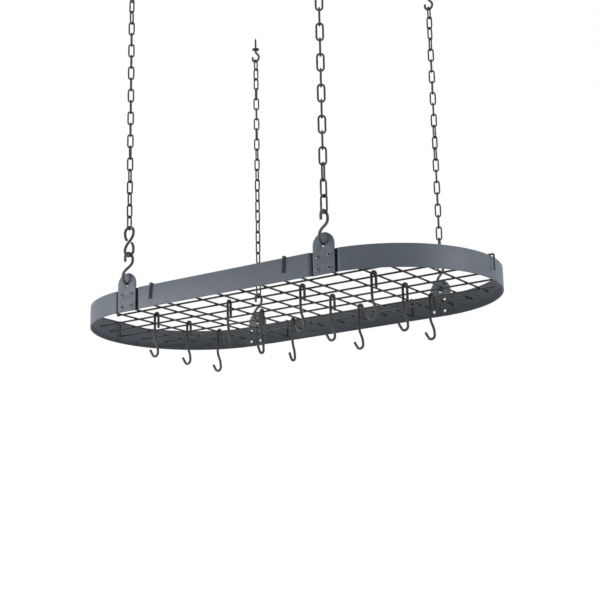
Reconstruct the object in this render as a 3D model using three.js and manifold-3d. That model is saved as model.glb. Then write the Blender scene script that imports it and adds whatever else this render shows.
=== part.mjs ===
// A hanging pot rack: an oval rim of flat bar that hangs from four chains, with a welded wire grid
// laid in it and twelve pot hooks on the grid. Millimetres, +Z up. The origin is on the ceiling,
// over the middle of the rack. X runs along the rack, and -Y is its near side.
import * as THREE from 'three';
import { mergeVertices } from 'three/addons/utils/BufferGeometryUtils.js';
import Module from 'manifold-3d';

const wasm = await Module();
wasm.setup();

// Clearances
const TOUCH_GAP = 0.3; // between two pieces that rest on each other
const RIVET_HOLE_PLAY = 0.2; // round a rivet's shank
const BUTT_GAP = 1; // between the two bar ends behind a bracket plate
const WELD_DEPTH = 0.4; // how deep two crossing wires of the grid sink into each other
const LINK_FUSE_DEPTH = 0.3; // how deep two links of one chain sink into each other

// Rim: flat bar on edge, two straight bars and two half-round ends
const RIM_LENGTH = 914;
const RIM_WIDTH = 446;
const RIM_HEIGHT = 44;
const BAR_THICKNESS = 3;
const JOGGLE_RUN = 8; // length of the slope by which a bar end steps in behind its plate
const JOGGLE_LAND = 3; // flat bar left between the plate's edge and that slope

// Bracket plates
const PLATE_WIDTH = 46;
const PLATE_HEIGHT = 77;
const PLATE_THICKNESS = 3;
const HOOK_HOLE_DIAMETER = 8;
const HOOK_HOLE_HEIGHT = 54; // centre over the plate's lower edge

// Blind rivets
const RIVET_SHANK = 4.8;
const RIVET_FLANGE = 9.5;
const RIVET_FLANGE_HEIGHT = 1.6;
const RIVET_BORE = 3.6;
const RIVET_BORE_DEPTH = 2.2;
const RIVET_TAIL = 6.4;
const RIVET_TAIL_LENGTH = 4;
const RIVET_SPACING_ALONG = 25;
const RIVET_SPACING_UP = 24;
const RIVET_LOWER_ROW = 9; // over the rim's lower edge

// Grid
const GRID_WIRE = 3.8;
const GRID_PITCH = 53;
const GRID_HEIGHT = 13; // centre of the long wires over the rim's lower edge
const GRID_SHIFT = 6; // the loose grid lies this far to the right in the rim
const LONG_WIRES = 7;
const CROSS_WIRES = 15;
const OUTER_LONG_CELLS = 6; // the two outer long wires stop at the sixth cross wire each side
const WIRE_OVERHANG = 4;
const END_SETBACK = 14; // from a cut wire end to the rim
const HANGING_CROSS = 3; // the third cross wire each side of the middle hangs on the rim
const HANGER_DROP = 29; // how far an outer leg reaches below the rim's upper edge
const HANGER_BEND = 3.2;
const HANGER_STANDOFF = 1.2; // between a hanger's leg and the rim
const LONG_HANGER_STANDOFF = 4.6; // the left inner and right outer legs of the middle long wire
const NEAR_HANGER_LEAN = 17; // the near hangers lean this far to the left as they rise
const NEAR_HANGER_SPLAY = 3; // their outer legs reach this much further left at the bottom

// Pot hooks
const POT_WIRE = 5.2;
const POT_SHORT_LEG = 28; // below the grid wire that the hook hangs on
const POT_STRAIGHT = 38;
const POT_DEPTH = 86.5; // from that wire down to the middle of the hook's lowest wire
const POT_CROOK_RADIUS = 7.5;
const POT_CROOK_SHIFT = 3.8; // the crook's centre, to the left of the grid wire
const POT_TAIL_ANGLE = 30; // degrees, of the crook's tail from upright
const POT_TAIL = 13;
const POT_SETOFF = 5; // between a pot hook and the long wire it is pushed up to

// S-hooks
const S_WIRE = 5.6;
const S_HEIGHT = 65; // between the middles of the wire, top and bottom
const S_UPPER_RADIUS = 11.3;
const S_LOWER_RADIUS = 13;
const S_OFFSET = 4.5; // sideways, between the two loops' centres
const S_TIP = 9;
const CLOSED_S_HEIGHT = 60;
const CLOSED_S_RADIUS = 11.2;
const CLOSED_S_TIP = [5.8, 3.6]; // where a pinched end stops, from the hook's middle

// Chains
const LINK_WIRE = 3.4;
const LINK_WIDTH = 14;
const LONG_LINK_WIRE = 3.9;
const LONG_LINK_WIDTH = 16.5;
const CHAIN_REACH = 553; // from the open S-hook's link up to the top link's lower bend
const TOP_LINK_LENGTH = 30;
const TURN_LINKS = 3; // links over which a chain's end turns to fit what it hangs on

// Ceiling hooks
const CEILING_WIRE = 5;
const CEILING_LOOP_RADIUS = 9;
const CEILING_NECK = 18; // from the loop's centre up to where its neck is straight
const CEILING_TIP = 5;
const SHOULDER_DIAMETER = 17;
const SHOULDER_THICKNESS = 2.5;
const SHOULDER_OVER_NECK = 3;
const SCREW_LENGTH = 28;
const SCREW_TIP = 5;

// Places worked out from the sizes above, with heights over the rim's lower edge
const END_RADIUS = RIM_WIDTH / 2;
const BRACKET_X = RIM_LENGTH / 2 - END_RADIUS;
const PLATE_MIDDLE_Y = END_RADIUS - PLATE_THICKNESS / 2;
const TUCKED_Y = END_RADIUS - PLATE_THICKNESS - TOUCH_GAP - BAR_THICKNESS / 2;
const BAR_MIDDLE_Y = END_RADIUS - BAR_THICKNESS / 2;
const S_BOTTOM = HOOK_HOLE_HEIGHT + HOOK_HOLE_DIAMETER / 2 - TOUCH_GAP - S_WIRE / 2;
const S_TOP = S_BOTTOM + S_HEIGHT;
const TOP_PIVOT = S_TOP - S_WIRE / 2 - LINK_WIRE / 2 - TOUCH_GAP + CHAIN_REACH;
const TOP_LINK_CROWN = TOP_PIVOT + TOP_LINK_LENGTH - LINK_WIRE;
const SADDLE = TOP_LINK_CROWN - LINK_WIRE / 2 - TOUCH_GAP - CEILING_WIRE / 2;
const SHOULDER_BOTTOM = SADDLE + CEILING_LOOP_RADIUS + CEILING_NECK + SHOULDER_OVER_NECK;
const CEILING = SHOULDER_BOTTOM + SHOULDER_THICKNESS;

// lowestTurn is how far the lowest link of a chain is turned from X, in degrees, by the hook it
// hangs on, and evenTurn is how far every second link from it is turned where the chain hangs
// untwisted. A twist turns the links by the angle `turn` more at link `at`, and fades out over
// the `over` links either side of it.
const CORNERS = [
  { name: 'near_left', right: -1, far: -1, links: 20, lowestTurn: 90, evenTurn: 124,
    twist: { turn: -34, at: 0, over: 8 }, pinched: true },
  { name: 'near_right', right: 1, far: -1, links: 18, lowestTurn: 180, evenTurn: 124,
    longLinks: true },
  { name: 'far_left', right: -1, far: 1, links: 22, lowestTurn: 0, evenTurn: 34,
    twist: { turn: -50, at: 6, over: 12 } },
  { name: 'far_right', right: 1, far: 1, links: 22, lowestTurn: 0, evenTurn: 34,
    twist: { turn: -40, at: 10, over: 4 } },
];
const NO_TWIST = { turn: 0, at: 0, over: 1 };

// The four rows of pot hooks, from left to right. Three rows hang on a cross wire, counted from the
// middle one, each hook on one side of its long wire: -1 is the near side. The second row hangs on
// the long wires themselves, at places along X.
const POT_ROWS = [
  { cross: -5, sides: [1, 1, 1] },
  { along: [-67, -63, -58] },
  { cross: 2, sides: [-1, -1, -1] },
  { cross: 5, sides: [-1, 1, 1] },
];
const POT_LONG_WIRES = [-2, 0, 2];

// Facets
const WIRE_SIDES = 6;
const HOOK_SIDES = 5;
const LINK_SIDES = 4;
const LINK_STEPS = 8;
const BEND_STEPS = 3;
const CURVE_STEPS = 5;
const LOOP_STEPS = 7;
const END_STEPS = 26;
const JOGGLE_STEPS = 4;
const HOLE_STEPS = 8;
const ROUND_STEPS = 12;

const paint = { color: 0x6b7176, roughness: 0.55, metalness: 0.35 };
const darkPaint = { color: 0x3a3c3a, roughness: 0.5, metalness: 0.4 };
const rivetMetal = { color: 0x85898d, roughness: 0.4, metalness: 0.7 };

function degrees(angle) {
  return (angle * Math.PI) / 180;
}

// ---- Solids ----

// A closed geometry as a solid that can be joined and cut
function solidOf(geometry) {
  const bare = geometry.index ? geometry.toNonIndexed() : geometry.clone();
  bare.deleteAttribute('normal');
  bare.deleteAttribute('uv');
  const merged = mergeVertices(bare, 1e-4);
  const vertProperties = new Float32Array(merged.attributes.position.array);
  const triVerts = new Uint32Array(merged.index.array);
  return new wasm.Manifold(new wasm.Mesh({ numProp: 3, vertProperties, triVerts }));
}

function geometryOf(solid) {
  const { vertProperties, triVerts } = solid.getMesh();
  const geometry = new THREE.BufferGeometry();
  geometry.setAttribute('position', new THREE.BufferAttribute(new Float32Array(vertProperties), 3));
  geometry.setIndex(new THREE.BufferAttribute(new Uint32Array(triVerts), 1));
  return geometry;
}

function join(geometries) {
  return geometryOf(geometries.map(solidOf).reduce((whole, next) => whole.add(next)));
}

function cut(geometry, tools) {
  return geometryOf(tools.map(solidOf).reduce((rest, tool) => rest.subtract(tool), solidOf(geometry)));
}

// ---- Wires ----

// A curve that passes through its stations one by one, so a sweep has a section at each of them
class StationCurve extends THREE.Curve {
  constructor(stations) {
    super();
    this.stations = stations;
  }

  getPoint(t, target = new THREE.Vector3()) {
    const place = t * (this.stations.length - 1);
    const before = Math.min(Math.floor(place), this.stations.length - 2);
    return target.lerpVectors(this.stations[before], this.stations[before + 1], place - before);
  }

  getPointAt(u, target) {
    return this.getPoint(u, target);
  }

  getTangentAt(u, target = new THREE.Vector3()) {
    const last = this.stations.length - 1;
    const here = Math.round(u * last);
    const ahead = new THREE.Vector3();
    if (here > 0) {
      target.subVectors(this.stations[here], this.stations[here - 1]).normalize();
    } else {
      target.set(0, 0, 0);
    }
    if (here < last) {
      ahead.subVectors(this.stations[here + 1], this.stations[here]).normalize();
    }
    return target.add(ahead).normalize();
  }
}

// Round wire along a list of stations
function wire(stations, diameter, sides) {
  const section = new THREE.Shape();
  for (let side = 0; side < sides; side += 1) {
    const angle = (side / sides) * 2 * Math.PI;
    const point = [(Math.cos(angle) * diameter) / 2, (Math.sin(angle) * diameter) / 2];
    if (side === 0) {
      section.moveTo(...point);
    } else {
      section.lineTo(...point);
    }
  }
  section.closePath();
  return new THREE.ExtrudeGeometry(section, {
    steps: stations.length - 1,
    extrudePath: new StationCurve(stations),
    bevelEnabled: false,
  });
}

// A straight wire along X or Y, with an edge of its facets on top and one below
function straightWire(axis, from, to, other, height, diameter) {
  const length = to - from;
  const rod = new THREE.CylinderGeometry(diameter / 2, diameter / 2, length, WIRE_SIDES);
  if (axis === 'x') {
    rod.rotateZ(Math.PI / 2);
    rod.translate((from + to) / 2, other, height);
  } else {
    rod.translate(other, (from + to) / 2, height);
  }
  return rod;
}

// Stations along straight runs between corners, with each corner rounded to a radius
function roundedRoute(corners, radius) {
  const stations = [corners[0].clone()];
  for (let i = 1; i < corners.length - 1; i += 1) {
    const into = new THREE.Vector3().subVectors(corners[i], corners[i - 1]).normalize();
    const out = new THREE.Vector3().subVectors(corners[i + 1], corners[i]).normalize();
    const turn = into.angleTo(out);
    const start = corners[i].clone().addScaledVector(into, -radius * Math.tan(turn / 2));
    const inward = new THREE.Vector3().subVectors(out, into).normalize();
    const centre = corners[i].clone().addScaledVector(inward, radius / Math.cos(turn / 2));
    const axis = new THREE.Vector3().crossVectors(into, out).normalize();
    for (let step = 0; step <= BEND_STEPS; step += 1) {
      const arm = new THREE.Vector3().subVectors(start, centre);
      stations.push(arm.applyAxisAngle(axis, (turn * step) / BEND_STEPS).add(centre));
    }
  }
  stations.push(corners[corners.length - 1].clone());
  return stations;
}

// Flat routes are lists of [across, up] pairs
function arcRoute(centre, radius, fromAngle, toAngle, steps) {
  return Array.from({ length: steps + 1 }, (_, step) => {
    const angle = degrees(fromAngle + ((toAngle - fromAngle) * step) / steps);
    return [centre[0] + radius * Math.cos(angle), centre[1] + radius * Math.sin(angle)];
  });
}

// A bend from one point to another that leaves and arrives along the given reaches
function easedRoute(from, fromReach, to, toReach, steps) {
  const curve = new THREE.CubicBezierCurve(
    new THREE.Vector2(...from),
    new THREE.Vector2(from[0] + fromReach[0], from[1] + fromReach[1]),
    new THREE.Vector2(to[0] + toReach[0], to[1] + toReach[1]),
    new THREE.Vector2(...to),
  );
  return curve.getPoints(steps).map((point) => [point.x, point.y]);
}

// Joins flat routes, dropping a point that repeats the one before it
function joinRoutes(...routes) {
  const all = routes.flat();
  return all.filter((point, i) => i === 0
    || Math.hypot(point[0] - all[i - 1][0], point[1] - all[i - 1][1]) > 1e-3);
}

function alongX(route) {
  return route.map(([across, up]) => new THREE.Vector3(across, 0, up));
}

function alongY(route) {
  return route.map(([across, up]) => new THREE.Vector3(0, across, up));
}

// ---- Rim ----

// The half width of the rim's bar, in plan, at a distance along X past the start of a round end
function endHalfWidth(past, middleRadius) {
  return Math.sqrt(middleRadius ** 2 - past ** 2);
}

// How far in from its full line a bar's middle line runs, at a distance from the bracket's centre
function joggled(distance, full) {
  const start = PLATE_WIDTH / 2 + JOGGLE_LAND;
  const share = THREE.MathUtils.clamp((distance - start) / JOGGLE_RUN, 0, 1);
  const ease = (1 - Math.cos(Math.PI * share)) / 2;
  return TUCKED_Y + (full - TUCKED_Y) * ease;
}

// Distances from a bracket's centre at which a joggled bar end needs a point
function joggleDistances() {
  const start = PLATE_WIDTH / 2 + JOGGLE_LAND;
  const slope = Array.from({ length: JOGGLE_STEPS + 1 }, (_, i) => start + (JOGGLE_RUN * i) / JOGGLE_STEPS);
  return [BUTT_GAP / 2, ...slope];
}

// A flat bar on edge, from its middle line in plan
function flatBar(line) {
  const tangents = line.map((_, i) => {
    const before = line[Math.max(i - 1, 0)];
    const after = line[Math.min(i + 1, line.length - 1)];
    return new THREE.Vector2().subVectors(after, before).normalize();
  });
  const side = (sign) => line.map((point, i) => new THREE.Vector2(
    point.x - (sign * tangents[i].y * BAR_THICKNESS) / 2,
    point.y + (sign * tangents[i].x * BAR_THICKNESS) / 2,
  ));
  const outline = new THREE.Shape([...side(1), ...side(-1).reverse()]);
  return new THREE.ExtrudeGeometry(outline, { depth: RIM_HEIGHT, bevelEnabled: false });
}

function straightBarLine(far) {
  const half = joggleDistances().map((distance) => new THREE.Vector2(
    BRACKET_X - distance,
    far * joggled(distance, BAR_MIDDLE_Y),
  ));
  const mirrored = half.map((point) => new THREE.Vector2(-point.x, point.y)).reverse();
  return [...mirrored, ...half.reverse()].sort((a, b) => a.x - b.x);
}

function endBarLine(right) {
  const middleRadius = BAR_MIDDLE_Y;
  const distances = joggleDistances();
  const lead = distances.map((distance) => new THREE.Vector2(
    right * (BRACKET_X + distance),
    -joggled(distance, endHalfWidth(distance, middleRadius)),
  ));
  const lastDistance = distances[distances.length - 1];
  const startAngle = Math.acos(lastDistance / middleRadius);
  const round = Array.from({ length: END_STEPS - 1 }, (_, i) => {
    const angle = startAngle * (1 - (2 * (i + 1)) / END_STEPS);
    return new THREE.Vector2(
      right * (BRACKET_X + middleRadius * Math.cos(angle)),
      -middleRadius * Math.sin(angle),
    );
  });
  const trail = lead.map((point) => new THREE.Vector2(point.x, -point.y)).reverse();
  return [...lead, ...round, ...trail];
}

// Where the rivets of one bracket stand: along X from its centre, and up from the rim's lower edge
function rivetPlaces() {
  const places = [];
  for (const along of [-1, 1]) {
    for (const row of [0, 1]) {
      places.push({
        along: (along * RIVET_SPACING_ALONG) / 2,
        up: RIVET_LOWER_ROW + row * RIVET_SPACING_UP,
      });
    }
  }
  return places;
}

function rivetHoleCutters(corners, reach) {
  return corners.flatMap(({ right, far }) => rivetPlaces()
    .filter(({ along }) => Math.sign(along * right) === reach)
    .map(({ along, up }) => {
      const drill = new THREE.CylinderGeometry(
        RIVET_SHANK / 2 + RIVET_HOLE_PLAY,
        RIVET_SHANK / 2 + RIVET_HOLE_PLAY,
        BAR_THICKNESS * 3,
        HOLE_STEPS,
      );
      drill.translate(right * BRACKET_X + along, far * TUCKED_Y, up);
      return drill;
    }));
}

function straightBar(far) {
  const corners = CORNERS.filter((corner) => corner.far === far);
  return cut(flatBar(straightBarLine(far)), rivetHoleCutters(corners, -1));
}

function endBar(right) {
  const corners = CORNERS.filter((corner) => corner.right === right);
  return cut(flatBar(endBarLine(right)), rivetHoleCutters(corners, 1));
}

// ---- Brackets ----

function circleHole(x, y, diameter, steps) {
  const edge = arcRoute([x, y], diameter / 2, 0, -360, steps).slice(0, -1);
  return new THREE.Path(edge.map((point) => new THREE.Vector2(...point)));
}

// A flat plate with a fully round top, upright in the XZ plane
function bracketPlate() {
  const half = PLATE_WIDTH / 2;
  const edge = [[-half, 0], [half, 0], ...arcRoute([0, PLATE_HEIGHT - half], half, 0, 180, ROUND_STEPS)];
  const outline = new THREE.Shape(edge.map((point) => new THREE.Vector2(...point)));
  outline.holes.push(circleHole(0, HOOK_HOLE_HEIGHT, HOOK_HOLE_DIAMETER, ROUND_STEPS));
  for (const { along, up } of rivetPlaces()) {
    outline.holes.push(circleHole(along, up, RIVET_SHANK + 2 * RIVET_HOLE_PLAY, HOLE_STEPS));
  }
  const plate = new THREE.ExtrudeGeometry(outline, { depth: PLATE_THICKNESS, bevelEnabled: false });
  plate.rotateX(Math.PI / 2);
  plate.translate(0, PLATE_THICKNESS / 2, 0);
  return plate;
}

// A set blind rivet on the Y axis, its flange outside and its swollen tail inside
function blindRivet() {
  const seat = TOUCH_GAP;
  const tailStart = -PLATE_THICKNESS - TOUCH_GAP - BAR_THICKNESS - TOUCH_GAP;
  const tailEnd = tailStart - RIVET_TAIL_LENGTH;
  const crown = seat + RIVET_FLANGE_HEIGHT;
  const profile = [
    [0, tailEnd],
    [RIVET_TAIL / 2, (tailStart + tailEnd) / 2],
    [RIVET_SHANK / 2, tailStart],
    [RIVET_SHANK / 2, seat],
    [RIVET_FLANGE / 2, seat],
    [RIVET_FLANGE * 0.38, crown],
    [RIVET_BORE / 2, crown],
    [0, crown - RIVET_BORE_DEPTH],
  ].map(([radius, along]) => new THREE.Vector2(radius, along));
  return new THREE.LatheGeometry(profile, HOLE_STEPS);
}

// ---- Grid ----

function crossWireX(index) {
  return GRID_SHIFT + index * GRID_PITCH;
}

function longWireY(index) {
  return index * GRID_PITCH;
}

// Half the free width inside the rim, less a setback, at a place along X
function freeHalfWidth(x, setback) {
  const past = Math.max(Math.abs(x) - BRACKET_X, 0);
  return endHalfWidth(past, END_RADIUS - BAR_THICKNESS - setback);
}

// The place along X where the rim, less a setback, meets a long wire
function freeHalfLength(y, setback) {
  return BRACKET_X + endHalfWidth(y, END_RADIUS - BAR_THICKNESS - setback);
}

// The corners of one bent end by which a wire hangs over the rim, from its inner foot outwards along
// +Y: up the rim's inner face, over the upper edge and down the outer face. A shift moves the bent
// end outwards, a lean moves it sideways as it rises, and a splay moves the outer leg's lower end
// sideways.
function hangerCorners(wireHeight, {
  shift = 0, lean = 0, splay = 0, innerStandoff = HANGER_STANDOFF, outerStandoff = HANGER_STANDOFF,
} = {}) {
  const inner = END_RADIUS - BAR_THICKNESS - GRID_WIRE / 2 - innerStandoff + shift;
  const outer = END_RADIUS + GRID_WIRE / 2 + outerStandoff + shift;
  const top = RIM_HEIGHT + TOUCH_GAP + GRID_WIRE / 2;
  return [
    new THREE.Vector3(0, inner, wireHeight),
    new THREE.Vector3(lean, inner, top),
    new THREE.Vector3(lean, outer, top),
    new THREE.Vector3(lean + splay, outer, RIM_HEIGHT - HANGER_DROP),
  ];
}

// A wire along Y with both ends bent over the rim
function hangingWire(nearCorners, farCorners) {
  const near = nearCorners.map((corner) => new THREE.Vector3(corner.x, -corner.y, corner.z));
  return wire(roundedRoute([...near.reverse(), ...farCorners], HANGER_BEND), GRID_WIRE, WIRE_SIDES);
}

// A cross wire that hangs on both straight bars; its near end leans to the left
function hangingCrossWire(index) {
  const height = crossHeight(index);
  const near = hangerCorners(height, { lean: -NEAR_HANGER_LEAN, splay: -NEAR_HANGER_SPLAY });
  const hanging = hangingWire(near, hangerCorners(height));
  hanging.translate(crossWireX(index), 0, 0);
  return hanging;
}

// The middle long wire, which hangs on both round ends
function hangingLongWire() {
  const left = hangerCorners(GRID_HEIGHT, { shift: BRACKET_X, innerStandoff: LONG_HANGER_STANDOFF });
  const right = hangerCorners(GRID_HEIGHT, { shift: BRACKET_X, outerStandoff: LONG_HANGER_STANDOFF });
  return hangingWire(left, right).rotateZ(-Math.PI / 2);
}

function crossHeight(index) {
  const below = Math.abs(index) === HANGING_CROSS;
  return GRID_HEIGHT + (below ? -1 : 1) * (GRID_WIRE - WELD_DEPTH);
}

function crossWire(index) {
  if (Math.abs(index) === HANGING_CROSS) {
    return hangingCrossWire(index);
  }
  const x = crossWireX(index);
  const reach = freeHalfWidth(x, END_SETBACK);
  return straightWire('y', -reach, reach, x, crossHeight(index), GRID_WIRE);
}

function longWire(index) {
  if (index === 0) {
    return hangingLongWire();
  }
  const y = longWireY(index);
  const outermost = Math.abs(index) === (LONG_WIRES - 1) / 2;
  let left = -freeHalfLength(y, END_SETBACK);
  let right = freeHalfLength(y, END_SETBACK);
  if (outermost) {
    left = crossWireX(-OUTER_LONG_CELLS) - WIRE_OVERHANG;
    right = crossWireX(OUTER_LONG_CELLS) + WIRE_OVERHANG;
  }
  return straightWire('x', left, right, y, GRID_HEIGHT, GRID_WIRE);
}

// Whole numbers centred on 0, for wires counted from the middle one
function centred(count) {
  return Array.from({ length: count }, (_, n) => n - (count - 1) / 2);
}

function grid() {
  return join([...centred(CROSS_WIRES).map(crossWire), ...centred(LONG_WIRES).map(longWire)]);
}

// ---- Hooks ----

// A pot hook round a grid wire at the origin: a narrow bend over the wire with a short back leg,
// a long leg that swings out, and an open crook
function potHook() {
  const bend = GRID_WIRE / 2 + TOUCH_GAP + POT_WIRE / 2;
  const crook = [-POT_CROOK_SHIFT, -POT_DEPTH + POT_CROOK_RADIUS];
  const swing = (POT_DEPTH - POT_CROOK_RADIUS - POT_STRAIGHT) / 2;
  const tail = degrees(POT_TAIL_ANGLE);
  const crookEnd = arcRoute(crook, POT_CROOK_RADIUS, 0, -180 + POT_TAIL_ANGLE, LOOP_STEPS);
  const last = crookEnd[crookEnd.length - 1];
  const route = joinRoutes(
    [[bend, -POT_SHORT_LEG]],
    arcRoute([0, 0], bend, 0, 180, CURVE_STEPS),
    easedRoute(
      [-bend, -POT_STRAIGHT],
      [0, -swing],
      [crook[0] + POT_CROOK_RADIUS, crook[1]],
      [0, swing],
      CURVE_STEPS,
    ),
    crookEnd,
    [[last[0] - POT_TAIL * Math.sin(tail), last[1] + POT_TAIL * Math.cos(tail)]],
  );
  return wire(alongX(route), POT_WIRE, HOOK_SIDES);
}

// An open S-hook in the YZ plane about its own middle. Its upper loop opens towards -Y.
function openSHook() {
  const side = S_OFFSET / 2;
  const upperRise = S_HEIGHT / 2 - S_UPPER_RADIUS;
  const lowerRise = S_HEIGHT / 2 - S_LOWER_RADIUS;
  const reach = upperRise * 0.8;
  const route = joinRoutes(
    [[side - S_UPPER_RADIUS, upperRise - S_TIP]],
    arcRoute([side, upperRise], S_UPPER_RADIUS, 180, 0, LOOP_STEPS),
    easedRoute(
      [side + S_UPPER_RADIUS, upperRise],
      [0, -reach],
      [-side - S_LOWER_RADIUS, -lowerRise],
      [0, reach],
      CURVE_STEPS,
    ),
    arcRoute([-side, -lowerRise], S_LOWER_RADIUS, 180, 360, LOOP_STEPS),
    [[S_LOWER_RADIUS - side, S_TIP - lowerRise]],
  );
  return wire(alongY(route), S_WIRE, HOOK_SIDES);
}

// An S-hook pinched shut into an 8, in the XZ plane about its own middle
function closedSHook() {
  const rise = CLOSED_S_HEIGHT / 2 - CLOSED_S_RADIUS;
  const [tipAcross, tipUp] = CLOSED_S_TIP;
  const draw = rise * 0.6;
  const route = joinRoutes(
    easedRoute([-tipAcross, tipUp], [-2, 2], [-CLOSED_S_RADIUS, rise], [0, -draw], BEND_STEPS),
    arcRoute([0, rise], CLOSED_S_RADIUS, 180, 0, LOOP_STEPS),
    easedRoute([CLOSED_S_RADIUS, rise], [0, -rise], [-CLOSED_S_RADIUS, -rise], [0, rise], CURVE_STEPS),
    arcRoute([0, -rise], CLOSED_S_RADIUS, 180, 360, LOOP_STEPS),
    easedRoute([CLOSED_S_RADIUS, -rise], [0, draw], [tipAcross, -tipUp], [2, -2], BEND_STEPS),
  );
  return wire(alongX(route), S_WIRE, HOOK_SIDES);
}

// A ceiling hook on the Z axis, with the saddle that carries the chain at height 0
function ceilingHook() {
  const centre = CEILING_LOOP_RADIUS;
  const route = joinRoutes(
    [[0, centre + CEILING_NECK + SHOULDER_OVER_NECK + SHOULDER_THICKNESS / 2]],
    easedRoute(
      [0, centre + CEILING_NECK],
      [0, -CEILING_NECK / 2],
      [CEILING_LOOP_RADIUS, centre],
      [0, CEILING_NECK / 2],
      CURVE_STEPS,
    ),
    arcRoute([0, centre], CEILING_LOOP_RADIUS, 0, -180, LOOP_STEPS),
    [[-CEILING_LOOP_RADIUS, centre + CEILING_TIP]],
  );
  const foot = centre + CEILING_NECK + SHOULDER_OVER_NECK;
  const shoulderRadius = SHOULDER_DIAMETER / 2;
  const screwTop = foot + SHOULDER_THICKNESS + SCREW_LENGTH;
  const shoulderAndScrew = new THREE.LatheGeometry(
    [
      [0, foot],
      [shoulderRadius, foot],
      [shoulderRadius, foot + SHOULDER_THICKNESS],
      [CEILING_WIRE / 2, foot + SHOULDER_THICKNESS],
      [CEILING_WIRE / 2, screwTop - SCREW_TIP],
      [0, screwTop],
    ].map(([radius, up]) => new THREE.Vector2(radius, up)),
    ROUND_STEPS,
  );
  shoulderAndScrew.rotateX(Math.PI / 2);
  return join([wire(alongX(route), CEILING_WIRE, WIRE_SIDES), shoulderAndScrew]);
}

// ---- Chains ----

// One welded link, upright in the XZ plane, its lower bend's middle at height 0
function chainLink(middleLength, width, diameter) {
  const bend = (width - diameter) / 2;
  const radius = bend / Math.cos(Math.PI / LINK_STEPS);
  const link = new THREE.TorusGeometry(radius, diameter / 2, LINK_SIDES, LINK_STEPS);
  link.rotateZ(Math.PI / LINK_STEPS);
  const stretch = middleLength / 2 - bend;
  const place = link.attributes.position;
  for (let i = 0; i < place.count; i += 1) {
    place.setY(i, place.getY(i) + Math.sign(place.getY(i)) * stretch);
  }
  link.rotateX(Math.PI / 2);
  link.translate(0, 0, middleLength / 2);
  return link;
}

// How far a link of a chain is turned about Z, in degrees. Every link stands about across the one
// below it, but for its chain's twist, and the last TURN_LINKS at each end turn to fit what they
// hang on: the highest stands along X.
function linkTurn(index, { links, lowestTurn, evenTurn, twist = NO_TWIST }) {
  const freeTurn = (link) => evenTurn + 90 * (link % 2)
    + twist.turn * THREE.MathUtils.clamp(1 - Math.abs(link - twist.at) / twist.over, 0, 1);
  const highest = freeTurn(links - 1);
  const highestTurn = 180 * Math.round(highest / 180);
  const toBottom = THREE.MathUtils.clamp(1 - index / TURN_LINKS, 0, 1);
  const toTop = THREE.MathUtils.clamp(1 - (links - 1 - index) / TURN_LINKS, 0, 1);
  return freeTurn(index) + (lowestTurn - freeTurn(0)) * toBottom
    + (highestTurn - highest) * toTop;
}

// A chain that hangs straight down, its lowest bend's middle at height 0
function chain(reach, corner) {
  const { links, longLinks = false } = corner;
  const diameter = longLinks ? LONG_LINK_WIRE : LINK_WIRE;
  const width = longLinks ? LONG_LINK_WIDTH : LINK_WIDTH;
  const topPlay = LINK_WIRE / 2 + diameter / 2 + TOUCH_GAP;
  const middleLength = (reach + topPlay + (links - 1) * (diameter - LINK_FUSE_DEPTH)) / links;
  const pitch = middleLength - diameter + LINK_FUSE_DEPTH;
  const pieces = Array.from({ length: links }, (_, index) => {
    const link = chainLink(middleLength, width, diameter);
    link.rotateZ(degrees(linkTurn(index, corner)));
    link.translate(0, 0, index * pitch);
    return link;
  });
  return join(pieces);
}

function topLink() {
  const link = chainLink(TOP_LINK_LENGTH - LINK_WIRE, LINK_WIDTH, LINK_WIRE);
  link.rotateZ(Math.PI / 2);
  return link;
}

// ---- Assembly ----

const rack = new THREE.Group();
rack.position.z = -CEILING;

function add(name, geometry, look, position = [0, 0, 0], turn = 0) {
  const mesh = new THREE.Mesh(geometry, new THREE.MeshStandardMaterial(look));
  mesh.name = name;
  mesh.position.set(...position);
  mesh.rotation.z = turn;
  rack.add(mesh);
}

function addBracket({ name, right, far }) {
  const x = right * BRACKET_X;
  add(`bracket_plate_${name}`, bracketPlate(), paint, [x, far * PLATE_MIDDLE_Y, 0]);
  rivetPlaces().forEach(({ along, up }, i) => {
    const turn = far > 0 ? 0 : Math.PI;
    add(`rivet_${name}_${i + 1}`, blindRivet(), rivetMetal, [x + along, far * END_RADIUS, up], turn);
  });
}

function addSuspension(corner) {
  const { name, right, far, pinched = false, longLinks = false } = corner;
  const x = right * BRACKET_X;
  const y = far * PLATE_MIDDLE_Y + S_OFFSET;
  const linkWire = longLinks ? LONG_LINK_WIRE : LINK_WIRE;
  let carrier = S_TOP;
  add(`s_hook_${name}`, openSHook(), darkPaint, [x, y - S_OFFSET / 2, S_TOP - S_HEIGHT / 2]);
  if (pinched) {
    const closedBottom = S_TOP - S_WIRE - TOUCH_GAP;
    carrier = closedBottom + CLOSED_S_HEIGHT;
    add(`closed_s_hook_${name}`, closedSHook(), darkPaint, [x, y, closedBottom + CLOSED_S_HEIGHT / 2]);
  }
  const lowestBend = carrier - S_WIRE / 2 - linkWire / 2 - TOUCH_GAP;
  add(`chain_${name}`, chain(TOP_PIVOT - lowestBend, corner), darkPaint, [x, y, lowestBend]);
  add(`top_link_${name}`, topLink(), darkPaint, [x, y, TOP_PIVOT]);
  add(`ceiling_hook_${name}`, ceilingHook(), darkPaint, [x, y, SADDLE]);
}

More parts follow.
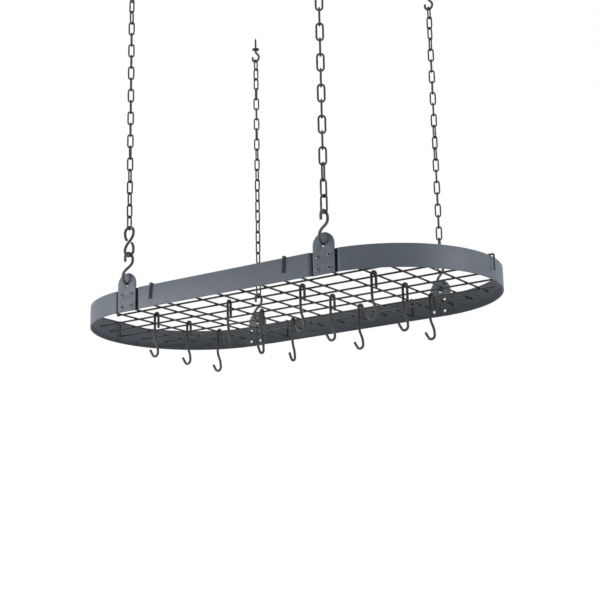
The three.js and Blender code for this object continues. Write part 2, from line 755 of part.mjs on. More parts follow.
add('rim_bar_near', straightBar(-1), paint);
add('rim_bar_far', straightBar(1), paint);
add('rim_end_left', endBar(-1), paint);
add('rim_end_right', endBar(1), paint);
for (const corner of CORNERS) {
  addBracket(corner);
  addSuspension(corner);
}
add('grid', grid(), darkPaint);
POT_ROWS.forEach(({ cross, sides, along }, row) => {
  POT_LONG_WIRES.forEach((longWireIndex, i) => {
    const name = `pot_hook_${row + 1}_${i + 1}`;
    const y = longWireY(longWireIndex);
    if (along) {
      add(name, potHook(), darkPaint, [along[i], y, GRID_HEIGHT], Math.PI / 2);
    } else {
      const place = [crossWireX(cross), y + sides[i] * POT_SETOFF, crossHeight(cross)];
      add(name, potHook(), darkPaint, place);
    }
  });
});

export default rack;
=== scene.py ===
"""A hanging pot rack: an oval rim of flat bar on four chains, with a wire grid and pot hooks.

The rack's classes hold their sizes in millimetres, with heights over the rim's lower edge, and a
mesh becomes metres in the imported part's own frame when it is made. The studio is in that frame.
"""

import logging
from collections.abc import Sequence
from dataclasses import dataclass, field
from enum import Enum

import bmesh
import bpy
import numpy as np
from mathutils import Matrix, Vector


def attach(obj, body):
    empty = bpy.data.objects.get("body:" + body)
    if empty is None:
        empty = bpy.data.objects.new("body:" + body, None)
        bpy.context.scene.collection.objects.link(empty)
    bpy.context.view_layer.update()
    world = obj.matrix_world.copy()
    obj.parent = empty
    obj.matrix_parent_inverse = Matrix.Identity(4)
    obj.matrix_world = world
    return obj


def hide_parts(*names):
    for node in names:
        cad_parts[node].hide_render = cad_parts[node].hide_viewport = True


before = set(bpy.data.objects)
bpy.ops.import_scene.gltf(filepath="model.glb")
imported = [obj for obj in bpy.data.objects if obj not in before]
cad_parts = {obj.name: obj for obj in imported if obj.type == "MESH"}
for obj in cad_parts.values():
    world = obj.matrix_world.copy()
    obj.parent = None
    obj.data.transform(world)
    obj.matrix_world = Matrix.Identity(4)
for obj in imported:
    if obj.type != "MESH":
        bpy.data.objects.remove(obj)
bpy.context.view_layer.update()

Array = np.ndarray
Colour = tuple[float, float, float]

X_AXIS = (1.0, 0.0, 0.0)
Y_AXIS = (0.0, 1.0, 0.0)
Z_AXIS = (0.0, 0.0, 1.0)
WHITE = (1.0, 1.0, 1.0, 1.0)

MM = 0.001
SAME_POINT = 1e-3  # points of a route that are nearer than this, in millimetres, are one
SAME_CORNER = 1e-6  # corners of a mesh that are nearer than this, in metres, are one
SMOOTH_ANGLE = 38.0  # edges that turn further than this, in degrees, stay sharp
HOOK_SIDES = 18  # faces round the wire of a hook
log = logging.getLogger("pot_rack")


# ---- Routes and shells ----


def unit(vectors: Array) -> Array:
    """Vectors divided by their own lengths."""
    return vectors / np.linalg.norm(vectors, axis=-1, keepdims=True)


def arc(centre: Sequence[float], radius: float, start: float, end: float, steps: int) -> Array:
    """A flat arc: centre + radius * (cos angle, sin angle), with the angle in degrees.

    Args:
        centre: The arc's middle.
        radius: Its radius.
        start: The first angle.
        end: The last angle.
        steps: How many equal turns it is made of.

    Returns:
        The arc's points, one in each row.
    """
    angles = np.radians(np.linspace(start, end, steps + 1))
    return np.asarray(centre) + radius * np.stack([np.cos(angles), np.sin(angles)], axis=1)


def eased(start: Sequence[float], leave: Sequence[float], end: Sequence[float],
          arrive: Sequence[float], steps: int) -> Array:
    """A flat cubic bend between two points, weighted by the four cubic blending terms.

    Args:
        start: The first point.
        leave: From the first point to the handle by which the bend leaves it.
        end: The last point.
        arrive: From the last point to the handle by which the bend reaches it.
        steps: How many stretches it is made of.

    Returns:
        The bend's points, one in each row.
    """
    first, last = np.asarray(start, float), np.asarray(end, float)
    share = np.linspace(0.0, 1.0, steps + 1)[:, None]
    rest = 1.0 - share
    return (rest**3 * first + 3 * rest**2 * share * (first + leave)
            + 3 * rest * share**2 * (last + arrive) + share**3 * last)


def joined(*routes: Array | Sequence) -> Array:
    """Routes one after another, without a point that repeats the one before it."""
    route = np.concatenate([np.atleast_2d(np.asarray(piece, float)) for piece in routes])
    apart = np.linalg.norm(np.diff(route, axis=0), axis=1) > SAME_POINT
    return route[np.concatenate([[True], apart])]


def upright_x(route: Array) -> Array:
    """A flat route stood in the XZ plane."""
    return np.stack([route[:, 0], np.zeros(len(route)), route[:, 1]], axis=1)


def upright_y(route: Array) -> Array:
    """A flat route stood in the YZ plane."""
    return np.stack([np.zeros(len(route)), route[:, 0], route[:, 1]], axis=1)


def rounded(corners: Array, radius: float, steps: int) -> Array:
    """A route through corners in space, each rounded to an arc between its two straight runs.

    The arc is middle + cos(angle) * (start - middle) + sin(angle) * radius * incoming direction.

    Args:
        corners: The corner points, first and last included.
        radius: The bend's radius.
        steps: How many stretches each bend is made of.

    Returns:
        The route's points, one in each row.
    """
    pieces = [corners[:1]]
    for before, corner, after in zip(corners, corners[1:], corners[2:]):
        into, out = unit(corner - before), unit(after - corner)
        turn = np.arccos(np.clip(into @ out, -1.0, 1.0))
        start = corner - into * radius * np.tan(turn / 2)
        middle = corner + unit(out - into) * radius / np.cos(turn / 2)
        angle = np.linspace(0.0, turn, steps + 1)[:, None]
        pieces.append(middle + np.cos(angle) * (start - middle) + np.sin(angle) * radius * into)
    return np.concatenate([*pieces, corners[-1:]])


def directions(path: Array, closed: bool) -> Array:
    """The direction at each point of a path: the sum of the unit steps before and after it.

    Args:
        path: The path's points.
        closed: Whether the last point leads back to the first.

    Returns:
        One unit vector for each point.
    """
    if closed:
        ahead = unit(np.roll(path, -1, axis=0) - path)
        return unit(ahead + np.roll(ahead, 1, axis=0))
    steps = unit(np.diff(path, axis=0))
    return unit(np.concatenate([steps[:1], steps]) + np.concatenate([steps, steps[-1:]]))


def circle(radius: float, sides: int) -> Array:
    """A round profile."""
    return arc((0.0, 0.0), radius, 0.0, 360.0, sides)[:-1]


def bar_profile(height: float, thickness: float, edge: float, steps: int) -> Array:
    """The profile of flat bar: a rectangle whose four corners are quarter circles.

    Args:
        height: Its size along the profile's first direction.
        thickness: Its size along the second.
        edge: The corners' radius.
        steps: How many stretches each corner is made of.

    Returns:
        The profile's points, counter-clockwise.
    """
    across, up = height / 2 - edge, thickness / 2 - edge
    corners = [(across, up, 0.0), (-across, up, 90.0), (-across, -up, 180.0), (across, -up, 270.0)]
    return np.concatenate([arc((x, y), edge, start, start + 90.0, steps)
                           for x, y, start in corners])


@dataclass
class Shell:
    """A closed surface: its points, its four-sided faces, its end caps and each face's finish."""

    points: Array
    quads: Array
    caps: list[Array] = field(default_factory=list)
    quad_finish: Array | None = None
    cap_finish: int = 0

    def placed(self, shift: Sequence[float] = (0.0, 0.0, 0.0), turn: float = 0.0) -> "Shell":
        """The same shell turned about the Z axis, in degrees, and then moved."""
        angle = np.radians(turn)
        spin = np.array([[np.cos(angle), np.sin(angle), 0.0],
                         [-np.sin(angle), np.cos(angle), 0.0],
                         [0.0, 0.0, 1.0]])
        return Shell(self.points @ spin + np.asarray(shift), self.quads, self.caps,
                     self.quad_finish, self.cap_finish)

    def finish_numbers(self) -> Array:
        """The finish number of every face, quads first and then caps."""
        quads = self.quad_finish
        if quads is None:
            quads = np.zeros(len(self.quads), int)
        return np.concatenate([quads, np.full(len(self.caps), self.cap_finish, int)])


def carry(profile: Array, path: Array, hint: Sequence[float], closed: bool = False,
          swell: Array | None = None, along: Array | None = None) -> Shell:
    """A profile carried along a path.

    A point of the surface is path + swell * (profile_1 * side + profile_2 * other), where side is
    the hint with its share along the path taken off, and other is the path's direction x side.

    Args:
        profile: The flat profile, counter-clockwise.
        path: The points that it is carried through.
        hint: A direction that is nowhere along the path.
        closed: Whether the path closes on itself.
        swell: The profile's size at each point of the path, or at each point of the surface.
        along: The path's directions, where they don't follow from its points.

    Returns:
        The shell, with a cap on each end of an open path.
    """
    rings, sides = len(path), len(profile)
    forward = directions(path, closed) if along is None else along
    side = unit(np.asarray(hint, float) - (forward @ np.asarray(hint, float))[:, None] * forward)
    other = np.cross(forward, side)
    size = np.ones((rings, 1)) if swell is None else np.asarray(swell, float).reshape(rings, -1)
    offset = (profile[None, :, :1] * side[:, None] + profile[None, :, 1:] * other[:, None])
    points = (path[:, None] + size[..., None] * offset).reshape(-1, 3)

    spans = rings if closed else rings - 1
    ring = np.arange(spans)[:, None] * sides
    next_ring = (np.arange(spans)[:, None] + 1) % rings * sides
    place = np.arange(sides)[None]
    next_place = (place + 1) % sides
    quads = np.stack([ring + place, ring + next_place, next_ring + next_place,
                      next_ring + place], axis=-1).reshape(-1, 4)
    caps = [] if closed else [np.arange(sides)[::-1], np.arange(sides) + (rings - 1) * sides]
    return Shell(points, quads, caps)


# How a cut wire's end is dressed: how far in from the end, and how thick, in shares of its radius
TIP_INSET = np.array([0.0, 0.10, 0.24, 0.45])
TIP_SIZE = np.array([0.62, 0.82, 0.95, 1.0])


def rod(path: Array, diameter: float, hint: Sequence[float], sides: int = 14) -> Shell:
    """Round wire along an open path, with softened ends.

    Args:
        path: The wire's middle line.
        diameter: The wire's diameter.
        hint: A direction that is nowhere along the path.
        sides: How many faces go round it.

    Returns:
        The wire's shell.
    """
    ends = directions(path, closed=False)[[0, -1]]
    inset = (TIP_INSET * diameter / 2)[:, None]
    start = path[0] + inset * ends[0]
    end = (path[-1] - inset * ends[1])[::-1]
    whole = np.concatenate([start, path[1:-1], end])
    swell = np.concatenate([TIP_SIZE, np.ones(len(path) - 2), TIP_SIZE[::-1]])
    return carry(circle(diameter / 2, sides), whole, hint, swell=swell)


def turned(outline: Array, axis: Sequence[float], sides: int) -> Shell:
    """A turned shape: a circle whose radius and place along an axis follow an outline.

    Args:
        outline: Rows of (radius, place along the axis), from one end of the shape to the other.
        axis: The axis, through the origin and across X.
        sides: How many faces go round it.

    Returns:
        The shape's shell.
    """
    path = outline[:, 1:] * np.asarray(axis, float)
    along = np.tile(np.asarray(axis, float), (len(outline), 1))
    return carry(circle(1.0, sides), path, X_AXIS, swell=outline[:, 0], along=along)


# ---- Finishes ----


NOISE_MEAN = 0.5  # what cloudy noise is on average


class Value:
    """A number that varies over a surface, from one output socket. Arithmetic adds Math nodes."""

    def __init__(self, nodes: "FinishNodes", socket: bpy.types.NodeSocket) -> None:
        """Wraps a socket of a material's nodes."""
        self.nodes = nodes
        self.socket = socket

    def _maths(self, operation: str, first: "Value | float", second: "Value | float") -> "Value":
        """One Math node on two values."""
        node = self.nodes.node("ShaderNodeMath", {0: first, 1: second}, {"operation": operation})
        return Value(self.nodes, node.outputs[0])

    def __add__(self, other: "Value | float") -> "Value":
        """The sum of two values."""
        return self._maths("ADD", self, other)

    __radd__ = __add__

    def __sub__(self, other: "Value | float") -> "Value":
        """This value less another."""
        return self._maths("SUBTRACT", self, other)

    def __mul__(self, other: "Value | float") -> "Value":
        """The product of two values."""
        return self._maths("MULTIPLY", self, other)

    def clamped(self) -> "Value":
        """This value kept between 0 and 1."""
        return self._maths("MAXIMUM", self._maths("MINIMUM", self, 1.0), 0.0)


class FinishNodes:
    """The nodes of one material, or of the world."""

    def __init__(self, tree: bpy.types.NodeTree) -> None:
        """Empties the node tree."""
        self.tree = tree
        tree.nodes.clear()

    def node(self, kind: str, inputs: dict[str | int, object] | None = None,
             settings: dict[str, str] | None = None) -> bpy.types.Node:
        """Adds a node, sets its settings, and then sets or links its input sockets.

        Args:
            kind: Blender's name for the node's type.
            inputs: Values, Value objects or output sockets, by input name or number.
            settings: The node's own settings.

        Returns:
            The node.
        """
        node = self.tree.nodes.new(kind)
        for name, setting in (settings or {}).items():
            setattr(node, name, setting)
        for name, given in (inputs or {}).items():
            source = given.socket if isinstance(given, Value) else given
            if isinstance(source, bpy.types.NodeSocket):
                self.tree.links.new(source, node.inputs[name])
            else:
                node.inputs[name].default_value = source
        return node

    def noise(self, scale: float, detail: float = 3.0, roughness: float = 0.5) -> Value:
        """Cloudy noise on the piece's own coordinates.

        Args:
            scale: About how many clouds there are in a metre.
            detail: How many finer layers are added to the clouds.
            roughness: How strong each finer layer is.

        Returns:
            The noise, which is NOISE_MEAN on average.
        """
        place = self.node("ShaderNodeTexCoord").outputs["Object"]
        node = self.node("ShaderNodeTexNoise", {"Vector": place, "Scale": scale,
                                                "Detail": detail, "Roughness": roughness})
        return Value(self, node.outputs["Fac"])

    def blend(self, share: Value, low: object, high: object) -> bpy.types.NodeSocket:
        """A colour between two colours, by a share from 0 to 1."""
        node = self.node("ShaderNodeMix", {0: share, 6: low, 7: high}, {"data_type": "RGBA"})
        return node.outputs[2]

    def surface(self, inputs: dict[str, object], height: Value, strength: float,
                depth: float) -> None:
        """Ends a material in a principled surface with a bump.

        Args:
            inputs: The surface's inputs, but for its normal.
            height: The bump's height, from 0 to 1.
            strength: How strongly the bump shows.
            depth: The bump's depth, in millimetres.
        """
        bump = self.node("ShaderNodeBump", {"Strength": strength, "Distance": depth * MM,
                                            "Height": height})
        shader = self.node("ShaderNodeBsdfPrincipled",
                           {**inputs, "Normal": bump.outputs["Normal"]})
        self.node("ShaderNodeOutputMaterial", {"Surface": shader.outputs["BSDF"]})


def blank_material(name: str) -> tuple[bpy.types.Material, FinishNodes]:
    """A new material and its nodes, of which there are none yet."""
    made = bpy.data.materials.new(name)
    made.use_nodes = True
    return made, FinishNodes(made.node_tree)


def tinted(colour: Colour, factor: float) -> tuple[float, float, float, float]:
    """A colour made lighter or darker by a factor, with full alpha."""
    return (*(min(channel * factor, 1.0) for channel in colour), 1.0)


@dataclass(frozen=True)
class Coat:
    """Baked powder coat on steel: an even satin colour with a fine orange peel."""

    name: str
    colour: Colour
    roughness: float
    specular: float
    cloud: float  # how far the colour drifts over the rack, as a share
    speck: float  # how far the finest grain strays from the colour
    peel: float  # height of the orange peel, in millimetres
    rub: float  # how far rubbed patches lighten
    contrast: float = 2.2  # how strongly the clouds part into dark and light
    rub_level: float = 0.62  # the level of the patches' noise over which they show
    rub_edge: float = 7.0  # how sharp the patches' edges are
    rub_light: float = 2.2  # how much lighter a wholly rubbed patch would be
    patch_dullness: float = 0.18  # how far the patches move the roughness
    grain_dullness: float = 0.08  # how far the grain does
    peel_strength: float = 0.5
    cloud_scale: float = 12.0  # each scale is about how many of its marks there are in a metre
    grain_scale: float = 1500.0
    patch_scale: float = 70.0
    peel_scale: float = 620.0

    def material(self) -> bpy.types.Material:
        """Makes the material.

        The colour drifts between a darker and a lighter tone over about 80 mm, carries a grain of
        under a millimetre, and lightens a little in small rubbed patches. The peel is a bump
        about 1.5 mm wide.

        Returns:
            The new material.
        """
        made, nodes = blank_material(self.name)
        clouds = nodes.noise(self.cloud_scale) - NOISE_MEAN
        grain = nodes.noise(self.grain_scale, detail=1.0) - NOISE_MEAN
        patches = nodes.noise(self.patch_scale, detail=4.0, roughness=0.65)
        peel = nodes.noise(self.peel_scale, detail=1.5)
        spread = (clouds * self.contrast + NOISE_MEAN + grain * (self.speck / self.cloud)).clamped()
        tone = nodes.blend(spread, tinted(self.colour, 1.0 - self.cloud),
                           tinted(self.colour, 1.0 + self.cloud))
        rubbed = ((patches - self.rub_level) * self.rub_edge).clamped()
        tone = nodes.blend(rubbed * self.rub, tone, tinted(self.colour, self.rub_light))
        roughness = (self.roughness + (patches - NOISE_MEAN) * self.patch_dullness
                     + grain * self.grain_dullness)
        nodes.surface({"Base Color": tone, "Roughness": roughness,
                       "Specular IOR Level": self.specular}, peel, self.peel_strength, self.peel)
        return made


@dataclass(frozen=True)
class BareMetal:
    """Uncoated metal with drawn marks and a dull bloom."""

    name: str
    colour: Colour
    roughness: float
    metallic: float
    dark: float = 0.72  # the darkest tone, as a share of the colour
    light: float = 1.25  # the lightest tone, likewise
    drawn_share: float = 0.8  # how strongly the drawn marks move the tone
    bloom_share: float = 1.4  # how strongly the bloom does
    bloom_dullness: float = 0.3  # how far the bloom moves the roughness
    drawn_depth: float = 0.03  # depth of the drawn marks, in millimetres
    drawn_strength: float = 0.4
    drawn_scale: float = 900.0  # each scale is about how many of its marks there are in a metre
    bloom_scale: float = 160.0

    def material(self) -> bpy.types.Material:
        """Makes the material: fine drawn noise and a wider bloom move its tone and its roughness.

        Returns:
            The new material.
        """
        made, nodes = blank_material(self.name)
        drawn = nodes.noise(self.drawn_scale)
        bloom = nodes.noise(self.bloom_scale) - NOISE_MEAN
        share = ((drawn - NOISE_MEAN) * self.drawn_share + bloom * self.bloom_share
                 + NOISE_MEAN).clamped()
        tone = nodes.blend(share, tinted(self.colour, self.dark), tinted(self.colour, self.light))
        roughness = self.roughness + bloom * self.bloom_dullness
        nodes.surface({"Base Color": tone, "Roughness": roughness, "Metallic": self.metallic},
                      drawn, self.drawn_strength, self.drawn_depth)
        return made


class Finish(Enum):
    """The finishes of the rack's metal."""

    SLATE = Coat("slate_powder_coat", (0.160, 0.187, 0.225), roughness=0.52, specular=0.36,
                 cloud=0.045, speck=0.05, peel=0.05, rub=0.06)
    # A darker, duller copy of the slate coat for the bars' inner faces: painted shade, for the rim
    # shading its own inside.
    SLATE_INSIDE_PAINTED_SHADE = Coat("slate_powder_coat_inside_painted_shade", (0.109, 0.127, 0.150), roughness=0.60,
                        specular=0.25, cloud=0.07, speck=0.06, peel=0.06, rub=0.05)
    # A near-black copy of the slate coat for the bars' outer faces in the recess beside each plate:
    # painted shade, where the plate's edge shades the bar.
    SLATE_RECESS_PAINTED_SHADE = Coat("slate_powder_coat_recess_painted_shade", (0.022, 0.026, 0.034), roughness=0.75,
                        specular=0.1, cloud=0.12, speck=0.08, peel=0.06, rub=0.03)
    # A lighter, glossier copy of the slate coat for the rivet heads: its lighter colour is painted
    # highlight; its lower roughness and stronger gloss are the coat's own.
    SLATE_HEAD_PAINTED_HIGHLIGHT = Coat("slate_powder_coat_rivet_head_painted_highlight", (0.195, 0.222, 0.26), roughness=0.34,
                      specular=0.6, cloud=0.05, speck=0.05, peel=0.04, rub=0.10)
    DARK_WIRE = Coat("dark_coat_wire", (0.016, 0.017, 0.018), roughness=0.38, specular=0.6,
                     cloud=0.16, speck=0.10, peel=0.05, rub=0.10)
    WELD = Coat("weld_scale", (0.008, 0.008, 0.008), roughness=0.75, specular=0.1,
                cloud=0.20, speck=0.15, peel=0.08, rub=0.05)
    DARK_HOOK = Coat("dark_coat_hook", (0.050, 0.052, 0.050), roughness=0.42, specular=0.5,
                     cloud=0.14, speck=0.10, peel=0.05, rub=0.14)
    RIVET = BareMetal("rivet_aluminium", (0.90, 0.91, 0.92), roughness=0.45, metallic=0.85)
    # A near-black, glossless coat for the rivet's bore and the mandrel's stub: painted shade inside
    # the hole.
    BORE_PAINTED_SHADE = Coat("rivet_bore_painted_shade", (0.006, 0.006, 0.008), roughness=0.85, specular=0.05,
                   cloud=0.2, speck=0.1, peel=0.03, rub=0.02)


class Slot(Enum):
    """The record's material slots."""

    SLATE = "slate_coat"
    DARK = "dark_coat"
    RIVET = "rivet_metal"


# ---- Making pieces ----


def new_object(name: str, data: bpy.types.ID) -> bpy.types.Object:
    """Makes an object and puts it in the scene."""
    made = bpy.data.objects.new(name, data)
    bpy.context.scene.collection.objects.link(made)
    return made


def soften(mesh: bpy.types.Mesh) -> None:
    """Shades a mesh smooth and keeps its real edges sharp."""
    mesh.shade_smooth()
    mesh.set_sharp_from_angle(angle=float(np.radians(SMOOTH_ANGLE)))


def applied(item: bpy.types.Object, *spent: bpy.types.Object) -> bpy.types.Object:
    """Puts an object's modifiers or curve into a new mesh object of the same name.

    Args:
        item: The object, which is removed.
        spent: Objects that it used, which are removed too.

    Returns:
        The new object.
    """
    bpy.context.view_layer.update()
    seen = item.evaluated_get(bpy.context.evaluated_depsgraph_get())
    mesh = bpy.data.meshes.new_from_object(seen)
    name = item.name
    for old in (item, *spent):
        bpy.data.objects.remove(old, do_unlink=True)
    work = bmesh.new()
    work.from_mesh(mesh)
    bmesh.ops.remove_doubles(work, verts=work.verts, dist=SAME_CORNER)
    bmesh.ops.recalc_face_normals(work, faces=work.faces)
    work.to_mesh(mesh)
    work.free()
    soften(mesh)
    return new_object(name, mesh)


class Workshop:
    """Makes pieces from shells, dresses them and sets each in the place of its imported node."""

    def __init__(self, ceiling: float) -> None:
        """Keeps the ceiling's height over the rim's lower edge, and makes the materials."""
        self.ceiling = ceiling
        self.materials = {finish: finish.value.material() for finish in Finish}

    def mesh(self, name: str, shells: Sequence[Shell]) -> bpy.types.Mesh:
        """Joins shells into one mesh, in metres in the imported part's frame.

        Args:
            name: The mesh's name.
            shells: The closed surfaces, in millimetres over the rim's lower edge.

        Returns:
            The mesh, shaded smooth except across real edges.
        """
        starts = np.cumsum([0] + [len(shell.points) for shell in shells])
        points = np.concatenate([shell.points for shell in shells])
        points = (points - np.array([0.0, 0.0, self.ceiling])) * MM
        faces: list[list[int]] = []
        numbers: list[Array] = []
        for shell, start in zip(shells, starts):
            faces += (shell.quads + start).tolist() + [(cap + start).tolist() for cap in shell.caps]
            numbers.append(shell.finish_numbers())
        mesh = bpy.data.meshes.new(name)
        mesh.from_pydata(points.tolist(), [], faces)
        mesh.polygons.foreach_set("material_index", np.concatenate(numbers))
        mesh.update()
        soften(mesh)
        return mesh

    def paint(self, piece: bpy.types.Object, finishes: Sequence[Finish]) -> None:
        """Gives a piece the materials that it doesn't have yet. Its faces' numbers stay."""
        for finish in finishes[len(piece.data.materials):]:
            piece.data.materials.append(self.materials[finish])

    def dress(self, piece: bpy.types.Object, finishes: Sequence[Finish], node: str, body: str) -> None:
        """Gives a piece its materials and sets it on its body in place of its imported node.

        Args:
            piece: The piece.
            finishes: The finishes that its faces' numbers stand for.
            node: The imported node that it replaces.
            body: The body that it rides on.
        """
        self.paint(piece, finishes)
        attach(piece, body)
        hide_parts(node)
        log.info("%s: %d faces, stands for %s", piece.name, len(piece.data.polygons), node)

    def piece(self, node: str, ending: str, shells: Sequence[Shell], finishes: Sequence[Finish],
              body: str, slot: Slot) -> None:
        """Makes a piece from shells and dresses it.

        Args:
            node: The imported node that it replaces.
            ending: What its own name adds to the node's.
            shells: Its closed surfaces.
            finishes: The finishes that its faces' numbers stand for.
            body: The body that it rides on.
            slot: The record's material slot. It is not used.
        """
        name = f"{node}_{ending}"
        self.dress(new_object(name, self.mesh(name, shells)), finishes, node, body)

    def drilled(self, name: str, shells: Sequence[Shell], drills: Sequence[Shell],
                finishes: Sequence[Finish]) -> bpy.types.Object:
        """Makes an object from shells and cuts drills out of it.

        Args:
            name: The object's name.
            shells: Its closed surfaces.
            drills: The closed surfaces that are cut out.
            finishes: The finishes that its faces' numbers stand for, so that the cut keeps them.

        Returns:
            The object, with its holes in its mesh.
        """
        blank = new_object(name, self.mesh(name, shells))
        self.paint(blank, finishes)
        tool = new_object(f"{name}_drill", self.mesh(f"{name}_drill", drills))
        cut = blank.modifiers.new("holes", "BOOLEAN")
        cut.operation = "DIFFERENCE"
        cut.solver = "EXACT"
        cut.object = tool
        return applied(blank, tool)


# ---- The rack's sub-assemblies ----


@dataclass(frozen=True)
class Corner:
    """One of the four corners at which the rack hangs. Turns are in degrees about Z."""

    name: str
    right: int  # 1 on the right and -1 on the left
    far: int  # 1 on the far side and -1 on the near one
    links: int  # how many links its chain has below the top link
    lowest_turn: float  # how far the lowest link is turned, to fit the hook that it holds
    even_turn: float  # how far the lowest and every second link is turned before the twist
    twist: float = 0.0  # how far a link is turned more where the chain is twisted most
    twist_at: int = 0  # which link that is, from the lowest
    twist_over: int = 1  # how many links either side of it the twist fades out over
    pinched: bool = False  # whether a closed S-hook hangs between its chain and its open one
    long_links: bool = False


CORNERS = (
    Corner("near_left", right=-1, far=-1, links=20, lowest_turn=90.0, even_turn=124.0,
           twist=-34.0, twist_at=0, twist_over=8, pinched=True),
    Corner("near_right", right=1, far=-1, links=18, lowest_turn=180.0, even_turn=124.0,
           long_links=True),
    Corner("far_left", right=-1, far=1, links=22, lowest_turn=0.0, even_turn=34.0,
           twist=-50.0, twist_at=6, twist_over=12),
    Corner("far_right", right=1, far=1, links=22, lowest_turn=0.0, even_turn=34.0,
           twist=-40.0, twist_at=10, twist_over=4),
)


@dataclass(frozen=True)
class RackSizes:
    """Sizes that the sub-assemblies share, in millimetres."""

    rim_length: float = 914.0
    rim_width: float = 446.0
    rim_height: float = 44.0
    bar: float = 3.0  # thickness of the rim's flat bar
    plate: float = 3.0  # thickness of a bracket plate
    plate_width: float = 46.0
    plate_height: float = 77.0
    hook_hole: float = 8.0
    hook_hole_height: float = 54.0
    touch: float = 0.3  # space left between pieces that rest on each other
    s_wire: float = 5.6
    s_height: float = 65.0  # between the middles of the wire in its two bends
    s_offset: float = 4.5  # how far a chain hangs along Y from the hole that its S-hook is in
    link_wire: float = 3.4
    chain_reach: float = 553.0  # from the bend that holds an open S-hook up to the top link
    top_link_length: float = 30.0
    ceiling_wire: float = 5.0
    ceiling_loop: float = 9.0  # radius of a ceiling hook's loop, to the wire's middle
    ceiling_neck: float = 18.0  # height of the bend that leads from the loop to the screw's axis
    shoulder_over_neck: float = 3.0
    shoulder: float = 2.5  # thickness of the shoulder

    @property
    def end_radius(self) -> float:
        """The radius of the rim's round ends, outside."""
        return self.rim_width / 2

    @property
    def bracket_x(self) -> float:
        """From the rack's middle to a bracket's middle, along X."""
        return self.rim_length / 2 - self.end_radius

    @property
    def bar_line(self) -> float:
        """From the rack's middle to the bar's middle line, along Y."""
        return self.end_radius - self.bar / 2

    @property
    def tucked_line(self) -> float:
        """The same behind a bracket plate, where the bar is stepped in."""
        return self.end_radius - self.plate - self.touch - self.bar / 2

    @property
    def plate_line(self) -> float:
        """From the rack's middle to the middle of a plate's thickness, along Y."""
        return self.end_radius - self.plate / 2

    @property
    def s_top(self) -> float:
        """The height of an open S-hook's upper bend."""
        bottom = self.hook_hole_height + self.hook_hole / 2 - self.touch - self.s_wire / 2
        return bottom + self.s_height

    @property
    def top_pivot(self) -> float:
        """The height at which a chain hangs on its top link."""
        return self.s_top - self.s_wire / 2 - self.link_wire / 2 - self.touch + self.chain_reach

    @property
    def saddle(self) -> float:
        """The height of the wire's middle at the bottom of a ceiling hook."""
        crown = self.top_pivot + self.top_link_length - self.link_wire
        return crown - self.link_wire / 2 - self.touch - self.ceiling_wire / 2

    @property
    def ceiling(self) -> float:
        """The ceiling's height."""
        return (self.saddle + self.ceiling_loop + self.ceiling_neck + self.shoulder_over_neck
                + self.shoulder)


@dataclass(frozen=True)
class RivetPattern:
    """Where the four blind rivets of a bracket stand, and the hole for each."""

    along: float = 25.0  # between the two columns
    up: float = 24.0  # between the two rows
    lower_row: float = 9.0  # height of the lower row
    hole: float = 5.2

    def places(self) -> list[tuple[float, float]]:
        """Each rivet's place from the bracket's middle, along X, and its height."""
        return [(side * self.along / 2, self.lower_row + row * self.up)
                for side in (-1, 1) for row in (0, 1)]


